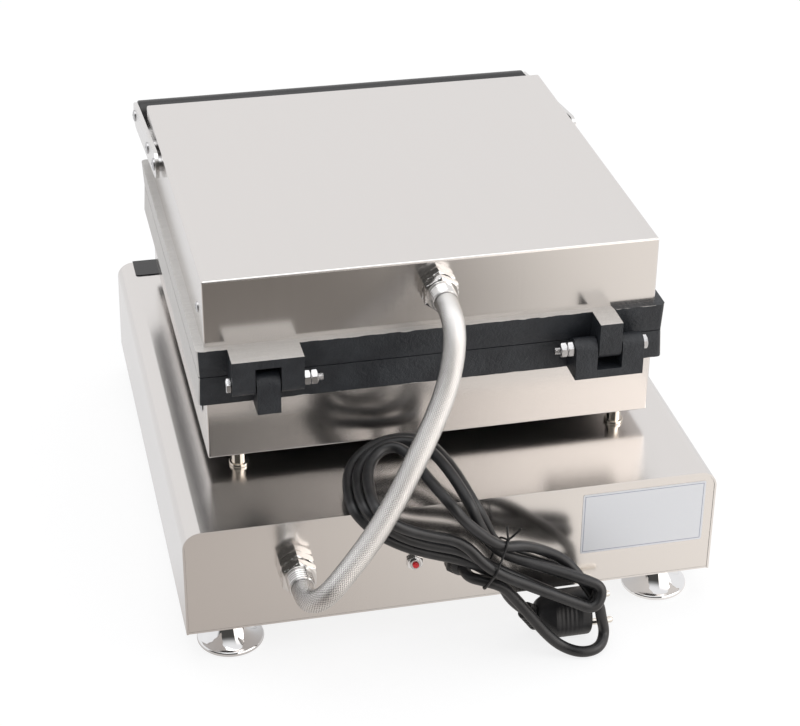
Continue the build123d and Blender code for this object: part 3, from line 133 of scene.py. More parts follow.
class Shader:
    """The nodes of one material or world."""

    def __init__(self, owner):
        owner.use_nodes = True
        self.owner = owner
        self.tree = owner.node_tree

    def fill(self, sockets, entries):
        """Links each entry's socket or sets its value."""
        for key, value in entries.items():
            if isinstance(value, Value):
                self.tree.links.new(value.socket, sockets[key])
            else:
                sockets[key].default_value = value

    def node(self, kind, settings=None, entries=None, output=0):
        """Adds a node: its settings first, then the values or links of its sockets."""
        made = self.tree.nodes.new("ShaderNode" + kind)
        for key, value in (settings or {}).items():
            setattr(made, key, value)
        self.fill(made.inputs, entries or {})
        return Value(self, made.outputs[output]) if len(made.outputs) else None

    def finish(self, colour, roughness, normal=None, **fixed):
        """Fills the standard surface of a material and returns the material."""
        entries = {"Base Color": colour, "Roughness": roughness}
        if normal is not None:
            entries["Normal"] = normal
        entries.update({key.replace("_", " "): value for key, value in fixed.items()})
        self.fill(self.tree.nodes["Principled BSDF"].inputs, entries)
        return self.owner

    def mix(self, share, first, second):
        """Colour between two colours."""
        return self.node("Mix", {"data_type": "RGBA"}, {0: share, 6: first, 7: second}, 2)

    def axes(self, kind="Object"):
        """The three numbers of a place on the object."""
        place = self.node("TexCoord", output=kind)
        return [self.node("SeparateXYZ", {}, {0: place}, k) for k in range(3)]

    def noise(self, scale, stretch=(1, 1, 1), detail=2.0, rough=0.5):
        """Noise over the places on the object, which are stretched first."""
        place = self.node("TexCoord", output="Object")
        place = self.node("Mapping", {}, {"Vector": place, "Scale": stretch})
        entries = {"Vector": place, "Scale": scale, "Detail": detail, "Roughness": rough}
        return self.node("TexNoise", {}, entries)

    def ray(self, kind):
        """1 where a ray of this kind arrives, 0 elsewhere."""
        return self.node("LightPath", output="Is " + kind + " Ray")

    def bump(self, height, distance, strength=1.0):
        """A normal that a height tilts."""
        entries = {"Strength": strength, "Distance": distance, "Height": height}
        return self.node("Bump", {}, entries)


def rgb(red, green, blue):
    """An opaque colour."""
    return (red, green, blue, 1.0)


studio = bpy.data.worlds.new("studio")
bpy.context.scene.world = studio
room = Shader(studio)
room.tree.nodes.clear()
look_x, look_y, look_z = room.axes("Generated")
dim_side = look_y.rise(0.02, 0.30) * look_z.rise(0.92, 0.70)
right_box = look_x.rise(-0.185, -0.25)
room_height = room.mix(look_z.rise(0.60, 0.78), rgb(0.070, 0.068, 0.064), rgb(0.36, 0.355, 0.35))
dim_room = room.mix(right_box, room_height, rgb(1.90, 1.79, 1.70))
shown_room = room.mix(dim_side, rgb(0.94, 0.93, 0.93), dim_room)
mirror_or_glass = room.ray("Glossy").most(room.ray("Transmission"))
lit_room = room.mix(mirror_or_glass, rgb(0.74, 0.745, 0.76), shown_room)
seen_room = room.mix(room.ray("Camera"), lit_room, rgb(1.0, 1.0, 1.0))
sky = room.node("Background", {}, {"Color": seen_room, "Strength": 1.0})
room.node("OutputWorld", {}, {"Surface": sky})

for box_name, box_size, box_place, box_aim, box_power in (
    ("overhead_box", (1.7, 1.3), (0.10, -0.20, 1.75), (0, 0, 0.1), 8.0),
    ("right_box", (0.9, 0.9), (-1.35, 0.75, 0.95), (0, 0, 0.12), 5.0),
):
    lamp = bpy.data.lights.new(box_name, "AREA")
    lamp.shape = "RECTANGLE"
    lamp.size, lamp.size_y = box_size
    lamp.energy = box_power
    holder = placed(box_name, lamp)
    beam = Vector(box_aim) - Vector(box_place)
    facing = beam.to_track_quat("-Z", "Y").to_matrix().to_4x4()
    holder.matrix_world = Matrix.Translation(box_place) @ facing

TABLE_HALF = 6
table_corners = [(x * TABLE_HALF, y * TABLE_HALF, 0) for x, y in ((-1, -1), (1, -1), (1, 1), (-1, 1))]
table_mesh = bpy.data.meshes.new("table_top")
table_mesh.from_pydata(table_corners, [], [(0, 1, 2, 3)])
table = placed("table_top", table_mesh)
table_paint = bpy.data.materials.new("table_paint")
board = Shader(table_paint)
board.tree.nodes.clear()
board_x, board_y, _ = board.axes()
# Painted light and shade: as the steel mirrors it, the table glows pale grey close under the cooker, darker
# on the +X side and nearly black far out behind the cooker there, and brighter than white on the -X side.
# The camera sees it plain white.
near_painted_light = board.mix(board_x.rise(0.24, -0.26), rgb(0.54, 0.50, 0.475), rgb(1.10, 1.06, 1.02))
far_painted_light = board.mix(board_x.rise(-0.02, -0.34), rgb(0.05, 0.045, 0.04), rgb(1.04, 0.99, 0.94))
rear_painted_light = board.mix(board_y.rise(0.36, 0.50), near_painted_light, far_painted_light)
mirrored_painted_light = board.mix(board_y.rise(0.05, 0.24), rgb(0.90, 0.91, 0.93), rear_painted_light)
seen, mirrored = board.ray("Camera"), board.ray("Glossy")
tone = board.mix(seen, mirrored_painted_light, rgb(1.0, 1.0, 1.0))
glow = board.node("Emission", {}, {"Color": tone, "Strength": 0.80})
# Painted shade: in reflections the matt part is a darker, warmer grey than the camera sees.
matt_tone = board.mix(seen, rgb(0.16, 0.145, 0.13), rgb(0.24, 0.24, 0.24))
matt = board.node("BsdfDiffuse", {}, {"Color": matt_tone})
shown = board.node("AddShader", {}, {0: glow, 1: matt})
plain = board.node("BsdfDiffuse", {}, {"Color": rgb(0.80, 0.80, 0.80)})
surface = board.node("MixShader", {}, {0: seen.most(mirrored), 1: plain, 2: shown})
board.node("OutputMaterial", {}, {"Surface": surface})
table_mesh.materials.append(table_paint)


# Mains cord.
# A round black rubber cord of 8 mm, 1.63 m long. It drops from its gland to
# the table, comes up behind the last turns and is folded into a hank of
# loops that leans against the gap under the hot box, held by a wire tie.
MM = 0.001
CORD_R = 4.0
REAR_EDGE = np.array((0.0, 197.5, 110.6))
GLAND_MOUTH = np.array((-3.0, 208.8, 61.0))
cord_middle = [
    (-3.0, 21.8, -49.6), (-13.0, 31.3, -47.9), (-27.0, 33.8, -53.1),
    (-34.9, 36.3, -62.7), (-45.4, 40.3, -76.4), (-57.6, 44.3, -93.1),
    (-69.0, 47.3, -103.6), (-82.0, 53.3, -106.4), (-96.0, 50.3, -106.4),
    (-104.0, 36.3, -104.1), (-100.0, 37.3, -88.6), (-98.5, 35.8, -78.6),
    (-91.8, 28.1, -68.1), (-77.9, 18.8, -48.9), (-59.7, 22.3, -34.7),
    (-41.4, 27.0, -24.1), (-24.0, 31.3, -21.4), (0.8, 29.3, 2.1),
    (10.3, 26.3, 15.7), (16.9, 9.3, 20.0), (22.7, -11.7, 21.9),
    (26.5, -29.7, 23.6), (33.7, -39.7, 26.4), (43.7, -40.7, 25.8),
    (53.2, -33.7, 23.0), (60.0, -20.7, 20.4), (62.6, -4.7, 19.4),
    (63.8, 12.3, 19.0), (61.7, 25.3, 17.3), (54.3, 27.3, 9.3),
    (43.7, 27.3, 1.5), (25.8, 27.3, -6.5), (2.3, 28.3, -13.5),
    (-16.0, 37.3, -36.1), (-51.1, 43.5, -52.8), (-75.5, 47.2, -64.7),
    (-90.7, 50.7, -71.5), (-98.5, 43.4, -57.8), (-83.3, 39.9, -51.0),
    (-58.3, 32.9, -42.3), (-22.1, 24.1, -29.3), (-10.6, 19.3, -6.2),
    (-4.8, 19.3, 9.8), (1.2, -4.7, 18.4), (7.7, -28.7, 21.8),
    (14.9, -44.7, 22.9), (27.1, -52.7, 22.5), (39.6, -52.7, 21.6),
    (52.5, -45.7, 19.6), (62.8, -34.7, 16.1), (67.5, -20.7, 13.9),
    (69.3, -1.7, 13.0), (68.3, 13.8, 11.4), (58.2, 19.3, 2.0),
    (42.0, 20.3, -10.6), (24.2, 21.3, -18.5), (0.8, 23.3, -24.8),
    (-17.4, 28.3, -37.7), (-51.7, 35.2, -55.8), (-75.4, 39.5, -68.8),
    (-90.6, 43.0, -75.6), (-98.4, 35.7, -61.9), (-83.3, 32.2, -55.1),
    (-58.9, 24.7, -45.2), (-24.1, 14.3, -29.9), (-18.3, 12.8, -11.7),
    (-9.5, 11.3, 5.5), (-4.4, -17.7, 11.9), (2.3, -41.7, 16.3),
    (9.6, -57.7, 17.5), (23.2, -63.2, 18.5), (40.3, -62.7, 17.6),
    (56.8, -54.7, 15.4), (67.8, -43.7, 11.0), (72.7, -28.7, 8.6),
    (75.1, -11.7, 7.3), (75.2, 5.8, 6.3), (61.6, 12.3, -9.0),
    (40.7, 15.3, -21.9), (23.1, 17.3, -28.6), (-0.5, 19.3, -36.0),
    (-15.9, 22.0, -44.3), (-29.0, 23.3, -59.6), (-36.5, 22.8, -75.6),
    (-47.0, 21.8, -85.6),
]
cord_route = np.vstack([GLAND_MOUTH, REAR_EDGE + np.array(cord_middle)]) * MM


def spline_curve(name, route, steps):
    """A NURBS spline that has the route's points as its control points."""
    curve = bpy.data.curves.new(name, "CURVE")
    curve.dimensions = "3D"
    curve.resolution_u = steps
    spline = curve.splines.new("NURBS")
    spline.points.add(len(route) - 1)
    spline.points.foreach_set("co", np.c_[route, np.ones(len(route))].ravel())
    spline.order_u = 3
    spline.use_endpoint_u = True
    return curve


def spline_points(route, step):
    """Even points, in metres, read from the route's spline."""
    holder = bpy.data.objects.new("route", spline_curve("route", route, 24))
    line = bpy.data.meshes.new_from_object(holder)
    points = np.empty(len(line.vertices) * 3)
    line.vertices.foreach_get("co", points)
    points = points.reshape(-1, 3)
    bpy.data.objects.remove(holder)
    bpy.data.meshes.remove(line)
    along = np.r_[0, np.cumsum(np.linalg.norm(np.diff(points, axis=0), axis=1))]
    wanted = np.linspace(0, along[-1], int(along[-1] / step) + 1)
    return np.stack([np.interp(wanted, along, points[:, k]) for k in range(3)], axis=1)


def shader_for(name):
    """The nodes of a new material."""
    return Shader(bpy.data.materials.new(name))


rubber = shader_for("cord_rubber")
rubber_dust = rubber.noise(70, detail=4.0)
cord_rubber = rubber.finish(
    rubber.mix(rubber_dust.rise(0.35, 0.75), rgb(0.011, 0.011, 0.012), rgb(0.026, 0.026, 0.028)),
    0.33 + 0.16 * rubber_dust,
    rubber.bump(rubber.noise(2600, detail=3.0), 0.00006, 0.6),
    Specular_IOR_Level=0.55,
)

cord_curve = spline_curve("mains_cord", cord_route, 10)
cord_curve.bevel_depth = CORD_R * MM
cord_curve.bevel_resolution = 7
cord_curve.use_fill_caps = True
mains_cord = placed("mains_cord", cord_curve)
cord_curve.materials.append(cord_rubber)
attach(mains_cord, "base")
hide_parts("cord_lead", "cord_hank")


# Cord tie.
# The thin plastic-covered wire around the hank. It is drawn tight round all the
# runs of the cord, and its two ends are twisted and stand up.
def skin(grid, loop=False, caps=True):
    """Points and faces of a grid of points whose rows are rings. A loop joins the
    last row to the first; without one, caps close the two end rows with a fan."""
    if loop:
        grid = np.concatenate([grid, grid[:1]])
    rows, columns = grid.shape[:2]
    points = grid.reshape(-1, 3)
    edge = np.arange(columns)
    after = np.roll(edge, -1)
    row = columns * np.arange(rows - 1)[:, None]
    quads = np.stack([row + edge, row + after, row + columns + after, row + columns + edge], -1)
    faces = quads.reshape(-1, 4).tolist()
    if caps and not loop:
        last = (rows - 1) * columns
        low = np.stack([np.full(columns, len(points)), after, edge], 1)
        high = np.stack([np.full(columns, len(points) + 1), last + edge, last + after], 1)
        points = np.vstack([points, grid[0].mean(0), grid[-1].mean(0)])
        faces += low.tolist() + high.tolist()
    return points, faces


def piece(name, skins, finish, body, replaced=(), sharp=32.0):
    """One mesh from several skins, faces outwards, riding on a body."""
    points, faces, start = [], [], 0
    for skin_points, skin_faces in skins:
        points.append(skin_points)
        faces += [[corner + start for corner in face] for face in skin_faces]
        start += len(skin_points)
    mesh = bpy.data.meshes.new(name)
    mesh.from_pydata(np.vstack(points) * MM, [], faces)
    shape = bmesh.new()
    shape.from_mesh(mesh)
    bmesh.ops.remove_doubles(shape, verts=shape.verts, dist=2e-6)
    bmesh.ops.dissolve_degenerate(shape, edges=shape.edges, dist=1e-7)
    bmesh.ops.recalc_face_normals(shape, faces=shape.faces)
    shape.to_mesh(mesh)
    shape.free()
    mesh.polygons.foreach_set("use_smooth", np.ones(len(mesh.polygons), bool))
    mesh.set_sharp_from_angle(angle=math.radians(sharp))
    return own(name, mesh, finish, body, replaced)


def stand_in(node, skins, finish, body, sharp=32.0):
    """A piece that takes the place of one CAD node."""
    return piece(node + "_round", skins, finish, body, [node], sharp)


def own(name, mesh, finish, body, replaced=()):
    """The object of a finished mesh, with its finish, body, slot and the nodes it
    stands for."""
    made = placed(name, mesh)
    mesh.materials.append(finish)
    if body:
        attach(made, body)
    if replaced:
        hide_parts(*replaced)
    return made


def unit(vector):
    """The vector, or each row of vectors, at length one."""
    return vector / np.linalg.norm(vector, axis=-1, keepdims=True)


def tube(points, radius, side, sides=10, closed=False):
    """Rings round a line: at each point a circle in the plane of side and its cross
    product with the line."""
    points = np.asarray(points, float)
    if closed:
        ahead = np.roll(points, -1, 0) - np.roll(points, 1, 0)
    else:
        ahead = np.gradient(points, axis=0)
    ahead = unit(ahead)
    first = unit(side - (ahead @ np.asarray(side, float))[:, None] * ahead)
    second = np.cross(ahead, first)
    angle = np.linspace(0, 2 * np.pi, sides, endpoint=False)[None, :, None]
    radius = np.broadcast_to(radius, (len(points), sides))[..., None]
    ring = first[:, None] * np.cos(angle) + second[:, None] * np.sin(angle)
    return points[:, None] + radius * ring


def outline_round(spots, margin, count=120):
    """Even outline that lies a margin outside the hull of flat spots: for each
    direction the reach of the farthest spot plus the margin gives the hull's edge."""
    angle = np.linspace(0, 2 * np.pi, 6 * count, endpoint=False)
    facing = np.stack([np.cos(angle), np.sin(angle)], 1)
    reach = (spots @ facing.T).max(0) + margin
    slope = np.gradient(np.r_[reach[-1], reach, reach[0]], angle[1])[1:-1]
    edge = facing * reach[:, None] + np.stack([-facing[:, 1], facing[:, 0]], 1) * slope[:, None]
    step = np.r_[0, np.cumsum(np.linalg.norm(np.diff(edge, axis=0, append=edge[:1]), axis=1))]
    wanted = np.linspace(0, step[-1], count, endpoint=False)
    return np.stack([np.interp(wanted, step, np.r_[edge[:, k], edge[0, k]]) for k in range(2)], 1)


TIE_R, TIE_SLACK, HANK_REACH, TWIST_R, TWIST_TURN = 0.8, 0.35, 34, 0.7, 14
TIE_SPOT = REAR_EDGE + np.array((-22.6, 18.9, -38.7))
TIE_AXIS = unit((-0.8936, 0.2063, -0.3986))
tie_across = unit(np.array((0, 0.88, 0.47)) - TIE_AXIS * (TIE_AXIS @ (0, 0.88, 0.47)))
tie_other = np.cross(TIE_AXIS, tie_across)
cord_line = spline_points(cord_route, 0.0005) / MM
from_tie = (cord_line - TIE_SPOT) @ TIE_AXIS
crossing = cord_line[:-1][from_tie[:-1] * from_tie[1:] <= 0] - TIE_SPOT
flat = np.stack([crossing @ tie_across, crossing @ tie_other], 1)
flat = flat[np.linalg.norm(flat, axis=1) < HANK_REACH]
tie_flat = outline_round(flat, CORD_R + TIE_R + TIE_SLACK)
tie_ring = TIE_SPOT + tie_flat[:, :1] * tie_across + tie_flat[:, 1:] * tie_other
tie_top = tie_ring[np.argmax(tie_ring[:, 2])]
tie_skins = [skin(tube(tie_ring, TIE_R, TIE_AXIS, closed=True), loop=True)]
run = np.linspace(0, 1, 30)[:, None]
for lean, height, phase in ((1.5, 13.0, 0.0), (-9.0, 9.8, math.pi)):
    coil = phase + TWIST_TURN * run
    twist = TWIST_R * np.clip(1 - 3 * run, 0, 1) * np.hstack([np.cos(coil), np.sin(coil), 0 * coil])
    tail = tie_top + run * np.array((lean, 1.5, height)) + twist
    tie_skins.append(skin(tube(tail, TIE_R, (0, 1, 0))))
coat = shader_for("tie_coat")
tie_coat = coat.finish(
    rgb(0.012, 0.012, 0.013),
    0.36 + 0.1 * coat.noise(900),
    coat.bump(coat.noise(3000), 0.00004, 0.5),
)
tie = piece("wire_tie", tie_skins, tie_coat, "base", ["cord_tie"])


# Mains plug.
# The round two-pin plug is moulded in black rubber round its contacts. It has
# a shallow grip with ribs on both sides, a ribbed cuff for the cord, and two
# nickel-plated round pins.
def turned(profile, start, direction, sides=48, change=None, hint=(0, 0, 1), loop=False, caps=False):
    """Skin of a turned shape: each row of the profile is how far along the axis and how
    far from it, and change(angle, along, radius) may alter both. Angle 0 is square to
    the axis and the hint."""
    third = unit(direction)
    if abs(unit(hint) @ third) >= 0.99:
        hint = (1, 0, 0)
    first = unit(np.cross(hint, third))
    second = np.cross(third, first)
    angle = np.linspace(0, 2 * np.pi, sides, endpoint=False)[None, :]
    along, radius = [np.repeat(part[:, None], sides, 1) for part in np.asarray(profile, float).T]
    if change:
        along, radius = change(angle, along, radius)
    spread = first * (radius * np.cos(angle))[..., None] + second * (radius * np.sin(angle))[..., None]
    return skin(np.asarray(start, float) + spread + third * along[..., None], loop, caps)


def soften(corners, reach, steps=4):
    """A line whose corners are replaced by short curves that start and end the
    given reach away from them."""
    corners = np.asarray(corners, float)
    back = np.roll(corners, 1, 0) - corners
    on = np.roll(corners, -1, 0) - corners
    back_run = np.linalg.norm(back, axis=1, keepdims=True)
    on_run = np.linalg.norm(on, axis=1, keepdims=True)
    reach = np.broadcast_to(np.asarray(reach, float).reshape(-1, 1), (len(corners), 1))
    reach = np.minimum(reach, 0.48 * np.minimum(back_run, on_run))
    t = np.linspace(0, 1, steps)[None, :, None]
    a = (corners + back / back_run * reach)[:, None]
    c = (corners + on / on_run * reach)[:, None]
    curves = (1 - t) ** 2 * a + 2 * t * (1 - t) * corners[:, None] + t**2 * c
    return np.vstack([corners[:1], curves[1:-1].reshape(-1, 2), corners[-1:]])


def wave(phase):
    """A ripple between 0 and 1, which is 1 at every full turn of the phase."""
    return 0.5 + 0.5 * np.cos(phase)


HAIR = 0.01  # A turned profile starts and ends a hair from its axis.
PLUG_FACE = np.array((-94.0, 218.8, 17.7))
GRIP_MIDDLE, GRIP_HALF, RIB_PITCH, GRIP_TURN = 17.5, 9.5, 3.2, math.radians(20)
cord_end = cord_route[-1] / MM
cord_aim = unit(cord_route[-1] - cord_route[-2])
body_corners = [
    (0, HAIR), (0, 17.5), (26, 17.5), (30, 15.4), (36, 12.0), (38.5, 9.5), (38.5, HAIR),
]
body_line = soften(body_corners, [0, 2.6, 4, 3, 2, 2, 0], 7)
body_count = len(body_line)
body_steps = np.linspace(0, body_count - 1, 3 * body_count)
body_rows, body_radii = [np.interp(body_steps, np.arange(body_count), body_line[:, k]) for k in range(2)]
grip_span = np.linspace(GRIP_MIDDLE - GRIP_HALF, GRIP_MIDDLE + GRIP_HALF, 58)
grip_rows = np.sort(np.r_[body_rows, grip_span])
grip_radii = np.interp(grip_rows, body_rows + np.arange(len(body_rows)) * 1e-9, body_radii)


def grip(angle, along, radius):
    """Draws two opposite sides in over the middle of the body and ripples them."""
    facing = np.abs(np.cos(angle - GRIP_TURN)) ** 6
    middle = np.clip(1 - np.abs((along - GRIP_MIDDLE) / GRIP_HALF) ** 3, 0, 1)
    ribs = wave((along - GRIP_MIDDLE) * 2 * np.pi / RIB_PITCH)
    return along, radius - facing * middle * (1.5 + 0.5 * ribs) * (radius > 12)


CUFF_L, CUFF_THIN, CUFF_THICK, CUFF_PITCH = 14.5, 6.4, 9.0, 2.9
cuff_rows = np.linspace(0, CUFF_L, 88)
cuff_wave = np.clip(np.cos((cuff_rows - 3.3) * 2 * np.pi / CUFF_PITCH), -0.45, 0.45) / 0.9 + 0.5
cuff_depth = 1.5 * cuff_wave * ((cuff_rows > 1.6) & (cuff_rows < 12.6))
cuff_radii = CUFF_THIN + (CUFF_THICK - CUFF_THIN) * cuff_rows / 13.5 - cuff_depth * 0.7
cuff_line = np.vstack([[(0, CORD_R + 0.1)], [(0, 5.9)], np.c_[cuff_rows, cuff_radii], [(CUFF_L, 5.0)]])
moulded = shader_for("plug_rubber")
plug_rubber = moulded.finish(
    moulded.mix(moulded.noise(60).rise(0.3, 0.8), rgb(0.012, 0.012, 0.013), rgb(0.024, 0.024, 0.026)),
    0.42 + 0.12 * moulded.noise(240),
    moulded.bump(moulded.noise(1500, detail=4.0), 0.00012, 0.6),
)
plug_skins = [
    turned(np.c_[grip_rows, grip_radii], PLUG_FACE, (1, 0, 0), 96, grip),
    turned(cuff_line, cord_end, cord_aim, caps=True),
]
plug = piece("moulded_plug", plug_skins, plug_rubber, "base", ["mains_plug"], sharp=50)

PIN_PITCH, PIN_TURN = 19.0, math.radians(30)
pin_line = soften([(-12, HAIR), (-12, 2.35), (17.8, 2.4), (19, 1.4), (19, HAIR)], [0, 0, 1.2, 0.8, 0], 6)
pin_metal = shader_for("pin_nickel")
pin_gloss = 0.13 + 0.1 * pin_metal.noise(500, (0.05, 1, 1))
pin_nickel = pin_metal.finish(rgb(0.80, 0.77, 0.72), pin_gloss, Metallic=1.0)
pin_way = PIN_PITCH / 2 * np.array((0, -math.sin(PIN_TURN), math.cos(PIN_TURN)))
pin_skins = [turned(pin_line, PLUG_FACE + side * pin_way, (-1, 0, 0), 32, caps=True) for side in (-1, 1)]
plug_contacts = piece("plug_contacts", pin_skins, pin_nickel, "base", ["plug_pins"])


# Hose.
# The wires to the lid run in a stainless braided hose of 16 mm, 0.27 m long.
# Forty-eight flat bands of three wires each cross at 45 degrees, two over and
# two under.
HINGE = np.array((0.0, 141.3, 192.2))
hose_ends = np.array([(-1, 150.8, 246), (-1, 166.8, 246), (116, 238, 73), (116, 225, 73)], float)
hose_middle = [
    (-0.5, -17.7, 127.4), (2.5, -8.7, 113.4), (9, -0.2, 93.4),
    (20, 9.3, 74.4), (35, 21.3, 53.4), (53, 33.3, 27.4),
    (71, 43.3, 6.4), (91.5, 52.3, -13.1), (103, 55.8, -24.1),
    (111.1, 51.5, -32.6),
]
hose_route = np.vstack([hose_ends[:2], REAR_EDGE + np.array(hose_middle), hose_ends[2:]]) * MM
HOSE_R, BRAID_DEPTH, HOSE_SIDES, HOSE_STEP = 8.0, 0.40, 144, 0.5
BAND_PAIRS, BAND_WIRES, BRAID_LEAD, UNDER = 24, 3.0, 50.0, 0.72
hose_line = spline_points(hose_route, HOSE_STEP * MM) / MM
hose_run = HOSE_STEP * np.arange(len(hose_line))[:, None]
hose_angle = np.linspace(0, 1, HOSE_SIDES, endpoint=False)[None, :]


def band(share):
    """Height of one family of bands: flat on top with rounded sides, 0 between bands."""
    inside = share - np.floor(share)
    return np.sqrt(np.clip(1 - np.abs(2 * inside - 1) ** 3, 0, 1))


lay_one = BAND_PAIRS * (hose_angle + hose_run / BRAID_LEAD)
lay_two = BAND_PAIRS * (hose_angle - hose_run / BRAID_LEAD)
over = (np.floor(lay_one) + np.floor(lay_two)) % 4 < 2
height = np.maximum(band(lay_one) * np.where(over, 1, UNDER), band(lay_two) * np.where(over, UNDER, 1))
hose_radius = HOSE_R - BRAID_DEPTH + BRAID_DEPTH * height
hose_points, hose_faces = skin(tube(hose_line, hose_radius, (-0.85, 0, -0.53), HOSE_SIDES))


def from_middle(share):
    """Distance of a socket's fraction from one half."""
    return abs(share.math("FRACT", share) - 0.5)


braid = shader_for("steel_braid")
wrap_place = braid.node("UVMap", {"uv_map": "wrap"})
wrap_u, wrap_v, _ = [braid.node("SeparateXYZ", {}, {0: wrap_place}, k) for k in range(3)]
braid_one = BAND_PAIRS * wrap_u + BAND_PAIRS * wrap_v
braid_two = BAND_PAIRS * wrap_u - BAND_PAIRS * wrap_v
wires_one = from_middle(braid_one * BAND_WIRES)
wires_two = from_middle(braid_two * BAND_WIRES)
gap_one, gap_two = from_middle(braid_one), from_middle(braid_two)
# Painted shade: the steel goes dark where the bands part and, more faintly, along their edges, standing in
# for shade in the gaps of the braid.
hole = gap_one.least(gap_two).rise(0.27, 0.40)
seam_shade = gap_one.most(gap_two).rise(0.34, 0.48)
wire_height = (wires_one * wires_one + wires_two * wires_two) * -2.0
steel_braid = braid.finish(
    braid.mix((hole + 0.22 * seam_shade).least(1.0), rgb(0.90, 0.89, 0.88), rgb(0.04, 0.04, 0.04)),
    0.14 + 0.25 * hole,
    braid.bump(wire_height, 0.00018, 0.8),
    Metallic=1.0,
)
hose_mesh = bpy.data.meshes.new("braided_hose")
hose_mesh.from_pydata(hose_points * MM, [], hose_faces)
row, column = np.divmod(np.arange((len(hose_line) - 1) * HOSE_SIDES), HOSE_SIDES)
corners_u = np.stack([column, column + 1, column + 1, column], 1) / HOSE_SIDES
corners_v = np.stack([row, row, row + 1, row + 1], 1) * HOSE_STEP / BRAID_LEAD
corner_uv = np.zeros((len(hose_mesh.loops), 2), np.float32)
corner_uv[: len(row) * 4] = np.c_[corners_u.ravel(), corners_v.ravel()]
hose_mesh.uv_layers.new(name="wrap").data.foreach_set("uv", corner_uv.ravel())
hose_mesh.polygons.foreach_set("use_smooth", np.ones(len(hose_mesh.polygons), bool))
hose = own("braided_hose", hose_mesh, steel_braid, None, ["conduit_hose"])
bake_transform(hose)


# Sheet steel.
# Base, pans and panels are folded from satin stainless sheet. Its grain is so
# fine that only soft streaks show, and handling leaves faint smudges.
def toned(colour, share, lift=0.0):
    """The colour made lighter or darker by a share, and lifted from black."""
    return rgb(*(min(1.0, part * share + lift) for part in colour[:3]))


def brushed(name, tone, gloss=0.20):
    """Steel brushed along Y on the top and upright on the walls."""
    steel = shader_for(name)
    across = steel.noise(1.0, (900, 6, 6), 3.0)
    along = steel.noise(1.0, (6, 900, 6), 3.0)
    side = abs(steel.axes("Normal")[0]).rise(0.55, 0.85)
    lines = across * (1 - side) + along * side
    rough = gloss - 0.045 + 0.05 * lines + 0.04 * steel.noise(7, detail=3.0)
    colour = steel.mix(lines, toned(tone, 0.985), toned(tone, 1.012))
    return steel.finish(colour, rough, steel.bump(lines, 0.000004, 0.5), Metallic=1.0)


def plain_metal(name, tone, gloss, spread, scale, dents=0.0):
    """Plated or turned metal: even colour, with gloss that changes in small patches."""
    metal = shader_for(name)
    patches = metal.noise(scale, detail=3.0)
    normal = metal.bump(metal.noise(scale * 3), 0.00002, dents) if dents else None
    colour = metal.mix(patches, toned(tone, 0.90), tone)
    return metal.finish(colour, gloss - spread / 2 + spread * patches, normal, Metallic=1.0)


def dress(finish, *nodes):
    """Gives CAD nodes a finish in place of their plain one."""
    for name in nodes:
        node_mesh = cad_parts[name].data
        node_mesh.materials.clear()
        node_mesh.materials.append(finish)


MERGE_REACH, FLAT_TURN, EDGE_TURN = 2e-6, math.radians(0.7), math.radians(38.0)


def rounded_copy(node, finish, body, width=0.0005, keep=None):
    """A merged copy of a CAD node whose flat areas are one face each; a Bevel modifier
    rounds every edge that turns by more than EDGE_TURN. keep(mesh) may mark faces."""
    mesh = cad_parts[node].data.copy()
    mesh.name = node + "_round"
    shape = bmesh.new()
    shape.from_mesh(mesh)
    bmesh.ops.remove_doubles(shape, verts=shape.verts, dist=MERGE_REACH)
    bmesh.ops.dissolve_limit(shape, angle_limit=FLAT_TURN, verts=shape.verts, edges=shape.edges)
    shape.to_mesh(mesh)
    shape.free()
    for left_over in ("custom_normal", "sharp_edge"):
        if left_over in mesh.attributes:
            mesh.attributes.remove(mesh.attributes[left_over])
    mesh.polygons.foreach_set("use_smooth", np.ones(len(mesh.polygons), bool))
    if keep:
        keep(mesh)
    mesh.materials.clear()
    made = own(node + "_round", mesh, finish, body, [node])
    bevel = made.modifiers.new("edges", "BEVEL")
    bevel.width = width
    bevel.segments = 2
    bevel.limit_method = "ANGLE"
    bevel.angle_limit = EDGE_TURN
    bevel.use_clamp_overlap = True
    bevel.harden_normals = True


stainless = brushed("satin_stainless", rgb(0.760, 0.738, 0.722))
panel_steel = brushed("panel_stainless", rgb(0.755, 0.728, 0.705), 0.17)
arm_steel = plain_metal("arm_steel", rgb(0.78, 0.77, 0.76), 0.20, 0.10, 300)
dress(stainless, "cover_pan", "lower_box", "base_front_panel", "base_bottom_plate", "base_shell")
dress(panel_steel, "base_rear_panel")


# Castings.
# Two equal aluminium castings meet on the parting plane. Their pockets, rear
# faces and hinge lugs wear a baked black coating, which ends in an uneven line
# where the pan side was machined after coating. The sides are bare metal.
PARTING = 0.1922
POCKET_PITCH, POCKET_REACH, POCKETS_MIDDLE = 0.076, 0.0300, (0.0, -0.0339)
MACHINED_REACH, HIDDEN_REACH, PAN_SIDE = 0.0210, 0.0222, 0.165


